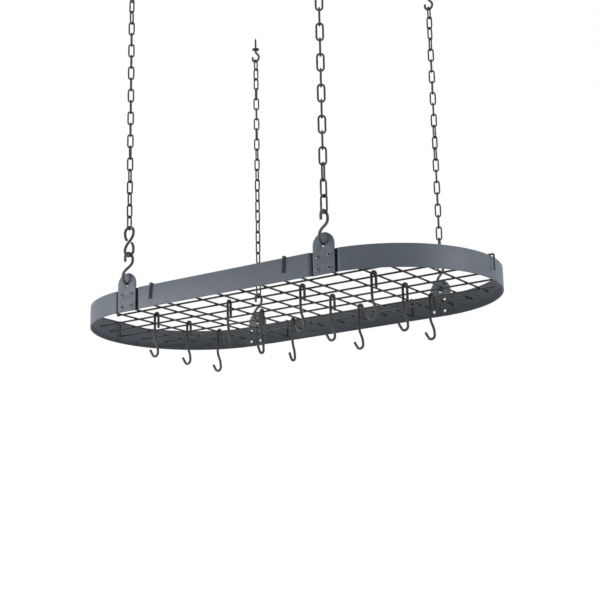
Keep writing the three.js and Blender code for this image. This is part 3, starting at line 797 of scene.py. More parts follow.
@dataclass
class Rim:
    """The oval rim: two straight bars and two half-round ends of flat bar on edge."""

    sizes: RackSizes
    rivets: RivetPattern
    edge: float = 0.55  # radius of the bar's softened edges
    edge_steps: int = 4
    butt_gap: float = 1.0  # between the two bars' ends behind a plate
    joggle_land: float = 3.0  # how far the stepped-in stretch of a bar runs on past the plate
    joggle_run: float = 8.0  # how far its slope back out runs
    joggle_steps: int = 14
    painted_shade_share: float = 0.35  # how much of the slope gets the recess's painted shade
    end_steps: int = 120
    hole_sides: int = 24

    def tucked(self, distance: Array, full: Array | float) -> Array:
        """The bar's middle line near a bracket: it eases in by half a cosine wave.

        Args:
            distance: Distances from the bracket's middle, along X.
            full: Where the line runs when it isn't stepped in.

        Returns:
            How far the middle line is from the rack's middle, along Y.
        """
        share = np.clip((distance - self.sizes.plate_width / 2 - self.joggle_land)
                        / self.joggle_run, 0.0, 1.0)
        ease = (1.0 - np.cos(np.pi * share)) / 2
        return self.sizes.tucked_line + (full - self.sizes.tucked_line) * ease

    def lead(self) -> Array:
        """Distances from a bracket's middle at which a bar's end has a station."""
        start = self.sizes.plate_width / 2 + self.joggle_land
        slope = np.linspace(start, start + self.joggle_run, self.joggle_steps + 1)
        return np.concatenate([[self.butt_gap / 2], slope])

    def straight_line(self) -> Array:
        """The near straight bar's middle line in plan, from left to right."""
        distance = self.lead()
        x = self.sizes.bracket_x - distance
        y = -self.tucked(distance, self.sizes.bar_line)
        left = np.stack([-x, y], axis=1)
        right = np.stack([x, y], axis=1)[::-1]
        return np.concatenate([left, right])

    def end_line(self) -> Array:
        """The right end's middle line in plan, from the near bracket round to the far one."""
        distance, radius = self.lead(), self.sizes.bar_line
        round_line = np.sqrt(radius**2 - distance**2)
        near = np.stack([self.sizes.bracket_x + distance, -self.tucked(distance, round_line)],
                        axis=1)
        start = np.degrees(np.arccos(distance[-1] / radius))
        curve = arc((self.sizes.bracket_x, 0.0), radius, -start, start, self.end_steps)[1:-1]
        return np.concatenate([near, curve, (near * [1.0, -1.0])[::-1]])

    def bar(self, plan: Array, turn: float) -> Shell:
        """Flat bar on edge along a line in plan that runs counter-clockwise round the rack.

        Faces on the inner side of the bar have the second finish, a darker copy of the coat that is
        painted shade, and the stepped-in stretch beside a plate has the third on its outer side, a
        near-black coat that is painted shade in the recess.

        Args:
            plan: The middle line's points in plan.
            turn: How far the line is turned about the rack's middle, in degrees.

        Returns:
            The bar's shell.
        """
        path = np.column_stack([plan, np.full(len(plan), self.sizes.rim_height / 2)])
        profile = bar_profile(self.sizes.rim_height, self.sizes.bar, self.edge, self.edge_steps)
        shell = carry(profile, path, Z_AXIS)
        ends = np.stack([profile[:, 1], np.roll(profile[:, 1], -1)])
        face = self.sizes.bar / 2 - self.edge / 2
        # Inner faces get the darker copy of the coat: painted shade.
        inner = (ends < -face).all(axis=0)
        outer = (ends > face).all(axis=0)
        # The outer faces in the recess beside a plate, and part of the slope out of it, get the
        # near-black coat: painted shade.
        from_bracket = np.abs(np.abs(plan[:, 0]) - self.sizes.bracket_x)
        recess = self.sizes.plate_width / 2 + self.joggle_land + self.painted_shade_share * self.joggle_run
        stepped = (from_bracket[:-1] + from_bracket[1:]) / 2 < recess
        shell.quad_finish = (inner + 2 * (outer & stepped[:, None])).astype(int).ravel()
        return shell.placed(turn=turn)

    def drills(self, right: int, far: int, reach: int) -> list[Shell]:
        """The drills for the rivets that hold one bar at one bracket.

        Args:
            right: The bracket's side, 1 for the right.
            far: The bracket's side, 1 for the far one.
            reach: 1 for the round end's rivets and -1 for the straight bar's.

        Returns:
            One shell for each hole.
        """
        radius, past_bar = self.rivets.hole / 2, 3 * self.sizes.bar
        outline = np.array([[radius, -past_bar], [radius, past_bar]])
        drill = turned(outline, Y_AXIS, self.hole_sides)
        return [drill.placed((right * self.sizes.bracket_x + along,
                              far * self.sizes.tucked_line, up))
                for along, up in self.rivets.places() if np.sign(along * right) == reach]

    def build(self, shop: Workshop) -> None:
        """Makes the four bars."""
        straight, end = self.straight_line(), self.end_line()
        # The second and third finishes are painted shade: the darker inside and the near-black recess.
        finishes = [Finish.SLATE, Finish.SLATE_INSIDE_PAINTED_SHADE, Finish.SLATE_RECESS_PAINTED_SHADE]
        bars = {
            "rim_bar_near": (self.bar(straight, 0.0), [(-1, -1, -1), (1, -1, -1)]),
            "rim_bar_far": (self.bar(straight, 180.0), [(-1, 1, -1), (1, 1, -1)]),
            "rim_end_right": (self.bar(end, 0.0), [(1, -1, 1), (1, 1, 1)]),
            "rim_end_left": (self.bar(end, 180.0), [(-1, -1, 1), (-1, 1, 1)]),
        }
        for node, (shell, places) in bars.items():
            drills = [drill for place in places for drill in self.drills(*place)]
            bar = shop.drilled(f"{node}_steel", [shell], drills, finishes)
            shop.dress(bar, finishes, node, "rack")


@dataclass
class Bracket:
    """A bracket plate with its fully round top, and the four blind rivets that hold it."""

    sizes: RackSizes
    rivets: RivetPattern
    corner: Corner
    edge: float = 0.4  # width of the plate's softened edges
    edge_steps: int = 2
    round_steps: int = 40
    hole_steps: int = 28
    shank: float = 4.8
    flange: float = 9.5
    flange_height: float = 1.6
    widest: float = 0.1  # from the flange's foot up to where it is widest
    under: float = 0.02  # from the flange's foot down to its bevelled underside
    under_share: float = 0.94  # the underside's width, as a share of the flange's
    dome_share: float = 1.02  # height of the head's ellipse, as a share of the flange's
    dome_angles: tuple[float, float] = (8.0, 66.0)
    dome_steps: int = 8
    bore: float = 3.6
    bore_depth: float = 2.2
    mouth: float = 0.25  # how much more the radius of the bore's mouth is
    mouth_drop: tuple[float, float] = (0.1, 0.3)  # from the crown to its outer and inner edge
    mandrel: float = 0.5  # radius of the sheared mandrel's flat top
    mandrel_rise: float = 0.35
    tip: float = 0.06  # radius of the cap that closes the head
    tail: float = 6.4
    tail_length: float = 4.0
    tail_angles: tuple[float, float] = (-86.0, 60.0)
    tail_steps: int = 10
    rivet_sides: int = 24

    def outlines(self) -> list[Array]:
        """The plate's outline and holes, drawn in by the width of the softened edge."""
        half, edge = self.sizes.plate_width / 2, self.edge
        dome = arc((0.0, self.sizes.plate_height - half), half - edge, 0.0, 180.0,
                   self.round_steps)
        outer = np.concatenate([[[-half + edge, edge], [half - edge, edge]], dome])
        holes = [(0.0, self.sizes.hook_hole_height, self.sizes.hook_hole)]
        holes += [(along, up, self.rivets.hole) for along, up in self.rivets.places()]
        return [outer] + [arc((x, y), size / 2 + edge, 0.0, -360.0, self.hole_steps)[:-1]
                          for x, y, size in holes]

    def plate(self, shop: Workshop) -> None:
        """Makes the plate: its flat outline filled, thickened and softened along every edge."""
        name = f"bracket_plate_{self.corner.name}_steel"
        flat = bpy.data.curves.new(name, "CURVE")
        flat.dimensions = "2D"
        flat.fill_mode = "BOTH"
        flat.extrude = (self.sizes.plate / 2 - self.edge) * MM
        flat.bevel_depth = self.edge * MM
        flat.bevel_resolution = self.edge_steps
        for outline in self.outlines():
            spline = flat.splines.new("POLY")
            spline.points.add(len(outline) - 1)
            rows = np.column_stack([outline * MM, np.zeros(len(outline)), np.ones(len(outline))])
            spline.points.foreach_set("co", rows.ravel())
            spline.use_cyclic_u = True
        made = applied(new_object(name, flat))
        stand = Matrix.Rotation(np.pi / 2, 4, "X")
        place = Vector((self.corner.right * self.sizes.bracket_x,
                        self.corner.far * self.sizes.plate_line, -shop.ceiling)) * MM
        made.data.transform(Matrix.Translation(place) @ stand)
        shop.dress(made, [Finish.SLATE], f"bracket_plate_{self.corner.name}", "rack")

    def rivet(self) -> Shell:
        """A set blind rivet on the Y axis, turned from a tail to a domed head with a bore.

        The head has a lighter coat whose colour is painted highlight, its bore holds the sheared
        mandrel and has a near-black coat that is painted shade, and the tail is bare.

        Returns:
            The rivet's shell.
        """
        touch, crown = self.sizes.touch, self.sizes.touch + self.flange_height
        start = -self.sizes.plate - touch - self.sizes.bar - touch
        tail = arc((0.0, 0.0), 1.0, *self.tail_angles, self.tail_steps)
        tail = tail * [self.tail / 2, self.tail_length / 2] + [0.0, start - self.tail_length / 2]
        dome = arc((0.0, 0.0), 1.0, *self.dome_angles, self.dome_steps)
        dome = dome * [self.flange / 2, self.flange_height * self.dome_share] + [0.0, touch]
        underside, bottom = touch - self.under, crown - self.bore_depth
        outline = joined(
            tail,
            [[self.shank / 2, start], [self.shank / 2, underside]],
            [[self.flange / 2 * self.under_share, underside],
             [self.flange / 2, touch + self.widest]],
            dome,
            [[self.bore / 2 + self.mouth, crown - self.mouth_drop[0]],
             [self.bore / 2, crown - self.mouth_drop[1]]],
            [[self.bore / 2, bottom], [self.mandrel, bottom + self.mandrel_rise],
             [self.tip, bottom + self.mandrel_rise]],
        )
        shell = turned(outline, Y_AXIS, self.rivet_sides)
        place, radius = outline[:-1, 1], outline[1:, 0]
        bored = (radius < self.bore / 2 + SAME_POINT) & (place > bottom - SAME_POINT)
        bare = place < underside - SAME_POINT
        # Finish 0 is the head's coat with its painted highlight, 1 the bare tail, 2 the bore's painted
        # shade.
        kind = np.where(bored, 2, np.where(bare, 1, 0))
        shell.quad_finish = np.repeat(kind, self.rivet_sides)
        shell.cap_finish = 1
        return shell

    def build(self, shop: Workshop) -> None:
        """Makes the plate and its rivets."""
        self.plate(shop)
        rivet = self.rivet()
        turn = 0.0 if self.corner.far > 0 else 180.0
        x = self.corner.right * self.sizes.bracket_x
        y = self.corner.far * self.sizes.end_radius
        for number, (along, up) in enumerate(self.rivets.places(), start=1):
            node = f"rivet_{self.corner.name}_{number}"
            shop.piece(node, "set", [rivet.placed((x + along, y, up), turn)],
                       [Finish.SLATE_HEAD_PAINTED_HIGHLIGHT, Finish.RIVET, Finish.BORE_PAINTED_SHADE], "rack", Slot.RIVET)


@dataclass
class WireGrid:
    """The loose grid: long wires with cross wires welded to them, some bent over the rim."""

    sizes: RackSizes
    wire: float = 3.8
    pitch: float = 53.0
    height: float = 13.0
    shift: float = 6.0  # how far the middle cross wire is right of the rack's middle
    long_wires: int = 7
    cross_wires: int = 15
    outer_cells: int = 6  # the cross wire at which the outermost long wires end
    overhang: float = 4.0  # how far they run past it
    setback: float = 14.0  # from the other straight wires' ends to the rim
    hanging_cross: int = 3  # the cross wire, to either side, that hangs on the rim
    hanger_drop: float = 29.0  # how far down the outside of the rim a bent end comes
    hanger_bend: float = 3.2
    hanger_steps: int = 8
    standoff: float = 1.2  # from a bent end's legs to the rim
    long_standoff: float = 4.6  # the same for the middle long wire, to the right of the rim
    near_lean: float = 17.0
    near_splay: float = 3.0
    weld_depth: float = 0.4  # how far crossing wires are sunk into each other
    nugget: tuple[float, float] = (2.5, 1.5)  # half a weld's width and half its height
    nugget_sides: int = 8
    nugget_angle: float = 78.0  # how far up and down its ellipse a weld runs, to its flat caps
    nugget_steps: int = 4

    @property
    def cross_numbers(self) -> range:
        """The cross wires, counted from the middle one."""
        return range(-(self.cross_wires // 2), self.cross_wires // 2 + 1)

    @property
    def long_numbers(self) -> range:
        """The long wires, counted from the middle one."""
        return range(-(self.long_wires // 2), self.long_wires // 2 + 1)

    @property
    def round_reach(self) -> float:
        """From a round end's middle to the ends of the straight wires in it."""
        return self.sizes.end_radius - self.sizes.bar - self.setback

    def cross_x(self, index: int) -> float:
        """Where a cross wire runs, counted from the middle one."""
        return self.shift + index * self.pitch

    def cross_height(self, index: int) -> float:
        """A cross wire's height: those that hang on the rim lie under the long wires."""
        side = -1.0 if abs(index) == self.hanging_cross else 1.0
        return self.height + side * (self.wire - self.weld_depth)

    def half_width(self, x: float) -> float:
        """Half the length of a straight cross wire."""
        past = max(abs(x) - self.sizes.bracket_x, 0.0)
        return float(np.sqrt(self.round_reach**2 - past**2))

    def half_length(self, y: float) -> float:
        """Half the length of a straight long wire."""
        return self.sizes.bracket_x + float(np.sqrt(self.round_reach**2 - y**2))

    def hanger(self, height: float, shift: float = 0.0, lean: float = 0.0, splay: float = 0.0,
               inner: float | None = None, outer: float | None = None) -> Array:
        """The corners of a bent end, from its inner foot outwards along +Y over the rim.

        Args:
            height: The wire's height inside the rim.
            shift: How much further out the bent end stands.
            lean: How far it moves sideways as it rises.
            splay: How much further sideways its outer leg ends.
            inner: From the inner leg to the rim.
            outer: From the outer leg to the rim.

        Returns:
            Four corners.
        """
        inner = self.standoff if inner is None else inner
        outer = self.standoff if outer is None else outer
        inside = self.sizes.end_radius - self.sizes.bar - self.wire / 2 - inner + shift
        outside = self.sizes.end_radius + self.wire / 2 + outer + shift
        top = self.sizes.rim_height + self.sizes.touch + self.wire / 2
        foot = self.sizes.rim_height - self.hanger_drop
        return np.array([[0.0, inside, height], [lean, inside, top], [lean, outside, top],
                         [lean + splay, outside, foot]])

    def hanging(self, near: Array, far: Array) -> Shell:
        """A wire along Y, both ends bent over the rim."""
        corners = np.concatenate([(near * [1.0, -1.0, 1.0])[::-1], far])
        return rod(rounded(corners, self.hanger_bend, self.hanger_steps), self.wire, X_AXIS)

    def cross_wire(self, index: int) -> Shell:
        """A cross wire, counted from the middle one. Two of them hang on both straight bars."""
        x, height = self.cross_x(index), self.cross_height(index)
        if abs(index) == self.hanging_cross:
            near = self.hanger(height, lean=-self.near_lean, splay=-self.near_splay)
            return self.hanging(near, self.hanger(height)).placed((x, 0.0, 0.0))
        reach = self.half_width(x)
        return rod(np.array([[x, -reach, height], [x, 0.0, height], [x, reach, height]]),
                   self.wire, X_AXIS)

    def long_wire(self, index: int) -> Shell:
        """A long wire, counted from the middle one. The middle one hangs on both round ends."""
        if index == 0:
            out = self.sizes.bracket_x
            left = self.hanger(self.height, shift=out, inner=self.long_standoff)
            right = self.hanger(self.height, shift=out, outer=self.long_standoff)
            return self.hanging(left, right).placed(turn=-90.0)
        y = index * self.pitch
        left, right = -self.half_length(y), self.half_length(y)
        if index in (self.long_numbers[0], self.long_numbers[-1]):
            left = self.cross_x(-self.outer_cells) - self.overhang
            right = self.cross_x(self.outer_cells) + self.overhang
        return rod(np.array([[left, y, self.height], [0.0, y, self.height],
                             [right, y, self.height]]), self.wire, Y_AXIS)

    def welds(self) -> list[Shell]:
        """The small flattened nuggets of metal where a cross wire is welded to a long wire."""
        outline = arc((0.0, 0.0), 1.0, -self.nugget_angle, self.nugget_angle,
                      self.nugget_steps) * self.nugget
        nugget = turned(outline, Z_AXIS, self.nugget_sides)
        nugget.quad_finish = np.ones(len(nugget.quads), int)
        nugget.cap_finish = 1
        made = []
        for cross in self.cross_numbers:
            x = self.cross_x(cross)
            height = (self.height + self.cross_height(cross)) / 2
            for long in self.long_numbers:
                past_end = abs(long) == self.long_numbers[-1] and abs(cross) > self.outer_cells
                if abs(long * self.pitch) < self.half_width(x) and not past_end:
                    made.append(nugget.placed((x, long * self.pitch, height)))
        return made

    def build(self, shop: Workshop) -> None:
        """Makes the grid as one welded piece."""
        shells = [self.cross_wire(index) for index in self.cross_numbers]
        shells += [self.long_wire(index) for index in self.long_numbers]
        shop.piece("grid", "wires", shells + self.welds(), [Finish.DARK_WIRE, Finish.WELD],
                   "grid", Slot.DARK)


@dataclass
class PotHooks:
    """Twelve pot hooks of bent wire, in four rows on the grid."""

    grid: WireGrid
    wire: float = 5.2
    short_leg: float = 28.0  # from the grid wire's middle down to the back leg's end
    straight: float = 38.0  # from the same place down to where the front leg starts to swing out
    depth: float = 86.5  # from the same place down to the wire's middle at the crook's bottom
    crook: float = 7.5
    crook_shift: float = 3.8  # how far the crook's middle is to one side of the grid wire
    tail_angle: float = 30.0
    tail: float = 13.0
    bend_steps: int = 16
    leg_steps: int = 14
    crook_steps: int = 20
    setoff: float = 5.0  # how far a hook over a cross wire stands from the long wire beside it
    long_wires: tuple[int, ...] = (-2, 0, 2)
    # Rows over a cross wire: the row, the wire, and the side of the long wire for each hook
    over_cross: tuple[tuple[int, int, tuple[int, ...]], ...] = (
        (1, -5, (1, 1, 1)), (3, 2, (-1, -1, -1)), (4, 5, (-1, 1, 1)))
    long_row: int = 2
    over_long: tuple[float, ...] = (-67.0, -63.0, -58.0)  # the hooks' places along X in that row

    def shape(self) -> Shell:
        """A hook round a grid wire at the origin: short back leg, bend, swung leg and crook."""
        bend = self.grid.wire / 2 + self.grid.sizes.touch + self.wire / 2
        middle = np.array([-self.crook_shift, -self.depth + self.crook])
        swing = (self.depth - self.crook - self.straight) / 2
        lean = np.radians(self.tail_angle)
        crook = arc(middle, self.crook, 0.0, -180.0 + self.tail_angle, self.crook_steps)
        tip = crook[-1] + self.tail * np.array([-np.sin(lean), np.cos(lean)])
        route = joined(
            [[bend, -self.short_leg]],
            arc((0.0, 0.0), bend, 0.0, 180.0, self.bend_steps),
            eased((-bend, -self.straight), (0.0, -swing), middle + [self.crook, 0.0],
                  (0.0, swing), self.leg_steps),
            crook,
            [tip],
        )
        return rod(upright_x(route), self.wire, Y_AXIS, HOOK_SIDES)

    def build(self, shop: Workshop) -> None:
        """Makes the twelve hooks."""
        shape = self.shape()
        places: dict[str, tuple[tuple[float, float, float], float]] = {}
        for row, cross, sides in self.over_cross:
            for number, (index, side) in enumerate(zip(self.long_wires, sides), start=1):
                y = index * self.grid.pitch + side * self.setoff
                spot = (self.grid.cross_x(cross), y, self.grid.cross_height(cross))
                places[f"pot_hook_{row}_{number}"] = (spot, 0.0)
        for number, (index, x) in enumerate(zip(self.long_wires, self.over_long), start=1):
            spot = (x, index * self.grid.pitch, self.grid.height)
            places[f"pot_hook_{self.long_row}_{number}"] = (spot, 90.0)
        for node, (spot, turn) in sorted(places.items()):
            shop.piece(node, "wire", [shape.placed(spot, turn)], [Finish.DARK_HOOK], node,
                       Slot.DARK)


@dataclass
class Suspension:
    """What hangs one corner: S-hook, chain, top link and ceiling hook."""

    sizes: RackSizes
    corner: Corner
    s_upper: float = 11.3  # radius of the upper loop, to the wire's middle
    s_lower: float = 13.0  # radius of the lower loop, likewise
    s_tip: float = 9.0  # how far an open end runs on past its loop
    s_pull: float = 0.8  # how far the bend between the loops keeps their direction
    s_steps: int = 18
    loop_steps: int = 20
    closed_height: float = 60.0
    closed_loop: float = 11.2
    closed_tip: tuple[float, float] = (5.8, 3.6)  # a pinched end, across and up from the middle
    closed_pull: float = 0.6  # how far a pinched end keeps its loop's direction
    closed_tip_pull: float = 2.0
    closed_tip_steps: int = 8
    closed_steps: int = 16
    link_width: float = 14.0
    long_link_wire: float = 3.9
    long_link_width: float = 16.5
    link_steps: int = 12
    link_sides: int = 12
    turn_links: int = 3  # over how many links a chain's end turns to what it hangs on or holds
    fuse: float = 0.3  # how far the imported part's links are sunk into each other; these touch
    weld_swell: float = 0.15
    weld_reach: float = 1.1
    weld_half: float = 2.4  # half the length of the stretch that has extra points for the weld
    weld_steps: int = 8
    neck_steps: int = 16
    ceiling_steps: int = 24
    ceiling_tip: float = 5.0
    shoulder_width: float = 17.0
    shoulder_sides: int = 32
    foot_bevel: float = 0.5
    top_bevel: float = 0.3
    sink: float = 0.2  # how far the screw and the shoulder overlap, down and inwards
    screw_length: float = 28.0
    screw_tip: float = 5.0
    screw_point: float = 0.04  # the point's size, as a share of the screw's
    screw_rows: int = 150
    screw_sides: int = 20
    thread_pitch: float = 2.2
    thread_depth: float = 0.75
    thread_start: float = 2.0  # from the shoulder up to where the thread has its full depth

    @property
    def place(self) -> tuple[float, float]:
        """Where the corner's chain hangs in plan."""
        return (self.corner.right * self.sizes.bracket_x,
                self.corner.far * self.sizes.plate_line + self.sizes.s_offset)

    def open_s(self) -> Shell:
        """An open S-hook in the YZ plane about its own middle: two loops and the bend between."""
        side, half = self.sizes.s_offset / 2, self.sizes.s_height / 2
        upper, lower = half - self.s_upper, half - self.s_lower
        reach = upper * self.s_pull
        route = joined(
            [[side - self.s_upper, upper - self.s_tip]],
            arc((side, upper), self.s_upper, 180.0, 0.0, self.loop_steps),
            eased((side + self.s_upper, upper), (0.0, -reach), (-side - self.s_lower, -lower),
                  (0.0, reach), self.s_steps),
            arc((-side, -lower), self.s_lower, 180.0, 360.0, self.loop_steps),
            [[self.s_lower - side, self.s_tip - lower]],
        )
        return rod(upright_y(route), self.sizes.s_wire, X_AXIS, HOOK_SIDES)

    def closed_s(self) -> Shell:
        """An S-hook pinched shut into an 8, in the XZ plane about its own middle."""
        rise = self.closed_height / 2 - self.closed_loop
        across, up = self.closed_tip
        draw, tip = rise * self.closed_pull, self.closed_tip_pull
        loop = self.closed_loop
        route = joined(
            eased((-across, up), (-tip, tip), (-loop, rise), (0.0, -draw), self.closed_tip_steps),
            arc((0.0, rise), loop, 180.0, 0.0, self.loop_steps),
            eased((loop, rise), (0.0, -rise), (-loop, -rise), (0.0, rise), self.closed_steps),
            arc((0.0, -rise), loop, 180.0, 360.0, self.loop_steps),
            eased((loop, -rise), (0.0, draw), (across, -up), (tip, -tip), self.closed_tip_steps),
        )
        return rod(upright_x(route), self.sizes.s_wire, Y_AXIS, HOOK_SIDES)

    def link(self, middle_length: float, width: float, wire: float) -> Shell:
        """A welded link upright in the XZ plane, its lower bend's middle at height 0.

        Two half circles are joined by straight sides. On one side the wire swells round the weld
        by weld_swell * exp(-(distance / weld_reach)^2).

        Args:
            middle_length: From the wire's middle in one bend to that in the other.
            width: The link's width outside.
            wire: The wire's diameter.

        Returns:
            The link's shell.
        """
        bend = (width - wire) / 2
        middle = middle_length / 2
        beside = np.linspace(-self.weld_half, self.weld_half, self.weld_steps + 1)
        route = joined(
            np.stack([np.full_like(beside, bend), middle + beside], axis=1),
            arc((0.0, middle_length - bend), bend, 0.0, 180.0, self.link_steps),
            arc((0.0, bend), bend, 180.0, 360.0, self.link_steps),
        )
        welded_side = route[:, 0] > bend - SAME_POINT
        from_weld = np.where(welded_side, route[:, 1] - middle, middle)
        swell = 1.0 + self.weld_swell * np.exp(-(from_weld / self.weld_reach) ** 2)
        return carry(circle(wire / 2, self.link_sides), upright_x(route), Y_AXIS, closed=True,
                     swell=swell)

    def turns(self) -> Array:
        """How far each link is turned about Z, in degrees, from the lowest up.

        Every link stands about across the one below it, but for the chain's twist, and the last
        few at each end turn to fit what the chain hangs on or holds.

        Returns:
            One angle for each link.
        """
        corner = self.corner
        index = np.arange(corner.links)
        away = np.abs(index - corner.twist_at) / corner.twist_over
        free = (corner.even_turn + 90.0 * (index % 2)
                + corner.twist * np.clip(1.0 - away, 0.0, 1.0))
        highest_turn = 180.0 * np.floor(free[-1] / 180.0 + 0.5)
        to_bottom = np.clip(1.0 - index / self.turn_links, 0.0, 1.0)
        to_top = np.clip(1.0 - (corner.links - 1 - index) / self.turn_links, 0.0, 1.0)
        return (free + (corner.lowest_turn - free[0]) * to_bottom
                + (highest_turn - free[-1]) * to_top)

    def chain(self, reach: float, wire: float, width: float) -> list[Shell]:
        """The chain's links, from about height 0 upwards.

        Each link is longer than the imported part's by fuse, half of it at each end, so that the
        links just touch and the lowest bend's middle is half of fuse below height 0.

        Args:
            reach: From height 0 up to the wire's middle in the top link's lower bend.
            wire: The links' wire.
            width: The links' width.

        Returns:
            One shell for each link.
        """
        count = self.corner.links
        top_play = self.sizes.link_wire / 2 + wire / 2 + self.sizes.touch
        packed = (reach + top_play + (count - 1) * (wire - self.fuse)) / count
        pitch = packed - wire + self.fuse
        shape = self.link(pitch + wire, width, wire)
        return [shape.placed((0.0, 0.0, number * pitch - self.fuse / 2), turn)
                for number, turn in enumerate(self.turns())]

    @property
    def shoulder_foot(self) -> float:
        """From a ceiling hook's saddle up to the foot of its shoulder."""
        return self.sizes.ceiling_loop + self.sizes.ceiling_neck + self.sizes.shoulder_over_neck

    @property
    def shoulder_top(self) -> float:
        """From a ceiling hook's saddle up to the face that bears on the ceiling."""
        return self.shoulder_foot + self.sizes.shoulder

    def ceiling_hook_wire(self) -> Shell:
        """A ceiling hook's bent wire in the XZ plane, from inside its shoulder to its tip."""
        loop, neck = self.sizes.ceiling_loop, self.sizes.ceiling_neck
        route = joined(
            [[0.0, self.shoulder_foot + self.sizes.shoulder / 2]],
            eased((0.0, loop + neck), (0.0, -neck / 2), (loop, loop), (0.0, neck / 2),
                  self.neck_steps),
            arc((0.0, loop), loop, 0.0, -180.0, self.ceiling_steps),
            [[-loop, loop + self.ceiling_tip]],
        )
        return rod(upright_x(route), self.sizes.ceiling_wire, Y_AXIS, HOOK_SIDES)

    def ceiling_hook_shoulder(self) -> Shell:
        """A ceiling hook's round shoulder, with its edges bevelled."""
        wire, half = self.sizes.ceiling_wire / 2, self.shoulder_width / 2
        foot, top = self.shoulder_foot, self.shoulder_top
        outline = np.array([
            [wire, foot], [half - self.foot_bevel, foot], [half, foot + self.foot_bevel],
            [half, top - self.top_bevel], [half - self.top_bevel, top], [wire - self.sink, top],
        ])
        return turned(outline, Z_AXIS, self.shoulder_sides)

    def ceiling_hook_screw(self) -> Shell:
        """A ceiling hook's screw, from inside its shoulder up to its point.

        The thread's radius is core + depth * a triangle wave of (height / pitch - angle / 360),
        and it tapers to the point.

        Returns:
            The screw's shell.
        """
        start, end = self.shoulder_top, self.shoulder_top + self.screw_length
        up = np.linspace(start - self.sink, end, self.screw_rows)
        share = np.linspace(0.0, 1.0, self.screw_sides, endpoint=False)
        wave = np.abs(((up[:, None] / self.thread_pitch - share) % 1.0) * 2.0 - 1.0)
        core = self.sizes.ceiling_wire / 2 - self.thread_depth
        taper = np.clip((end - up) / self.screw_tip, self.screw_point, 1.0)[:, None]
        run_in = np.clip((up - start) / self.thread_start, 0.0, 1.0)[:, None]
        radius = (core + self.thread_depth * (1.0 - run_in * (1.0 - wave))) * taper
        axis = up[:, None] * Z_AXIS
        along = np.tile(Z_AXIS, (self.screw_rows, 1))
        return carry(circle(1.0, self.screw_sides), axis, X_AXIS, swell=radius, along=along)

    def build(self, shop: Workshop) -> None:
        """Makes the corner's pieces from the bracket up."""
        sizes, name = self.sizes, self.corner.name
        x, y = self.place
        coat = [Finish.DARK_HOOK]
        held_bend = sizes.s_top
        s_place = (x, y - sizes.s_offset / 2, sizes.s_top - sizes.s_height / 2)
        shop.piece(f"s_hook_{name}", "wire", [self.open_s().placed(s_place)], coat,
                   f"s_hook_{name}", Slot.DARK)
        if self.corner.pinched:
            bottom = sizes.s_top - sizes.s_wire - sizes.touch
            held_bend = bottom + self.closed_height
            closed = self.closed_s().placed((x, y, bottom + self.closed_height / 2))
            shop.piece(f"closed_s_hook_{name}", "wire", [closed], coat, f"chain_{name}", Slot.DARK)
        wire = self.long_link_wire if self.corner.long_links else sizes.link_wire
        width = self.long_link_width if self.corner.long_links else self.link_width
        lowest = held_bend - sizes.s_wire / 2 - wire / 2 - sizes.touch
        links = [link.placed((x, y, lowest))
                 for link in self.chain(sizes.top_pivot - lowest, wire, width)]
        top = self.link(sizes.top_link_length - sizes.link_wire, self.link_width,
                        sizes.link_wire).placed((x, y, sizes.top_pivot), 90.0)
        hook = [shell.placed((x, y, sizes.saddle)) for shell in (
            self.ceiling_hook_wire(), self.ceiling_hook_shoulder(), self.ceiling_hook_screw())]
        shop.piece(f"chain_{name}", "links", links, [Finish.DARK_WIRE], f"chain_{name}", Slot.DARK)
        shop.piece(f"top_link_{name}", "link", [top], coat, f"top_link_{name}", Slot.DARK)
        shop.piece(f"ceiling_hook_{name}", "screw", hook, coat, "ceiling", Slot.DARK)


# ---- The studio ----


@dataclass(frozen=True)
class Lamp:
    """A soft lamp, wide and tall in metres, that looks at the rack from one direction."""

    name: str
    direction: tuple[float, float, float]
    distance: float
    wide: float
    tall: float
    watts: float


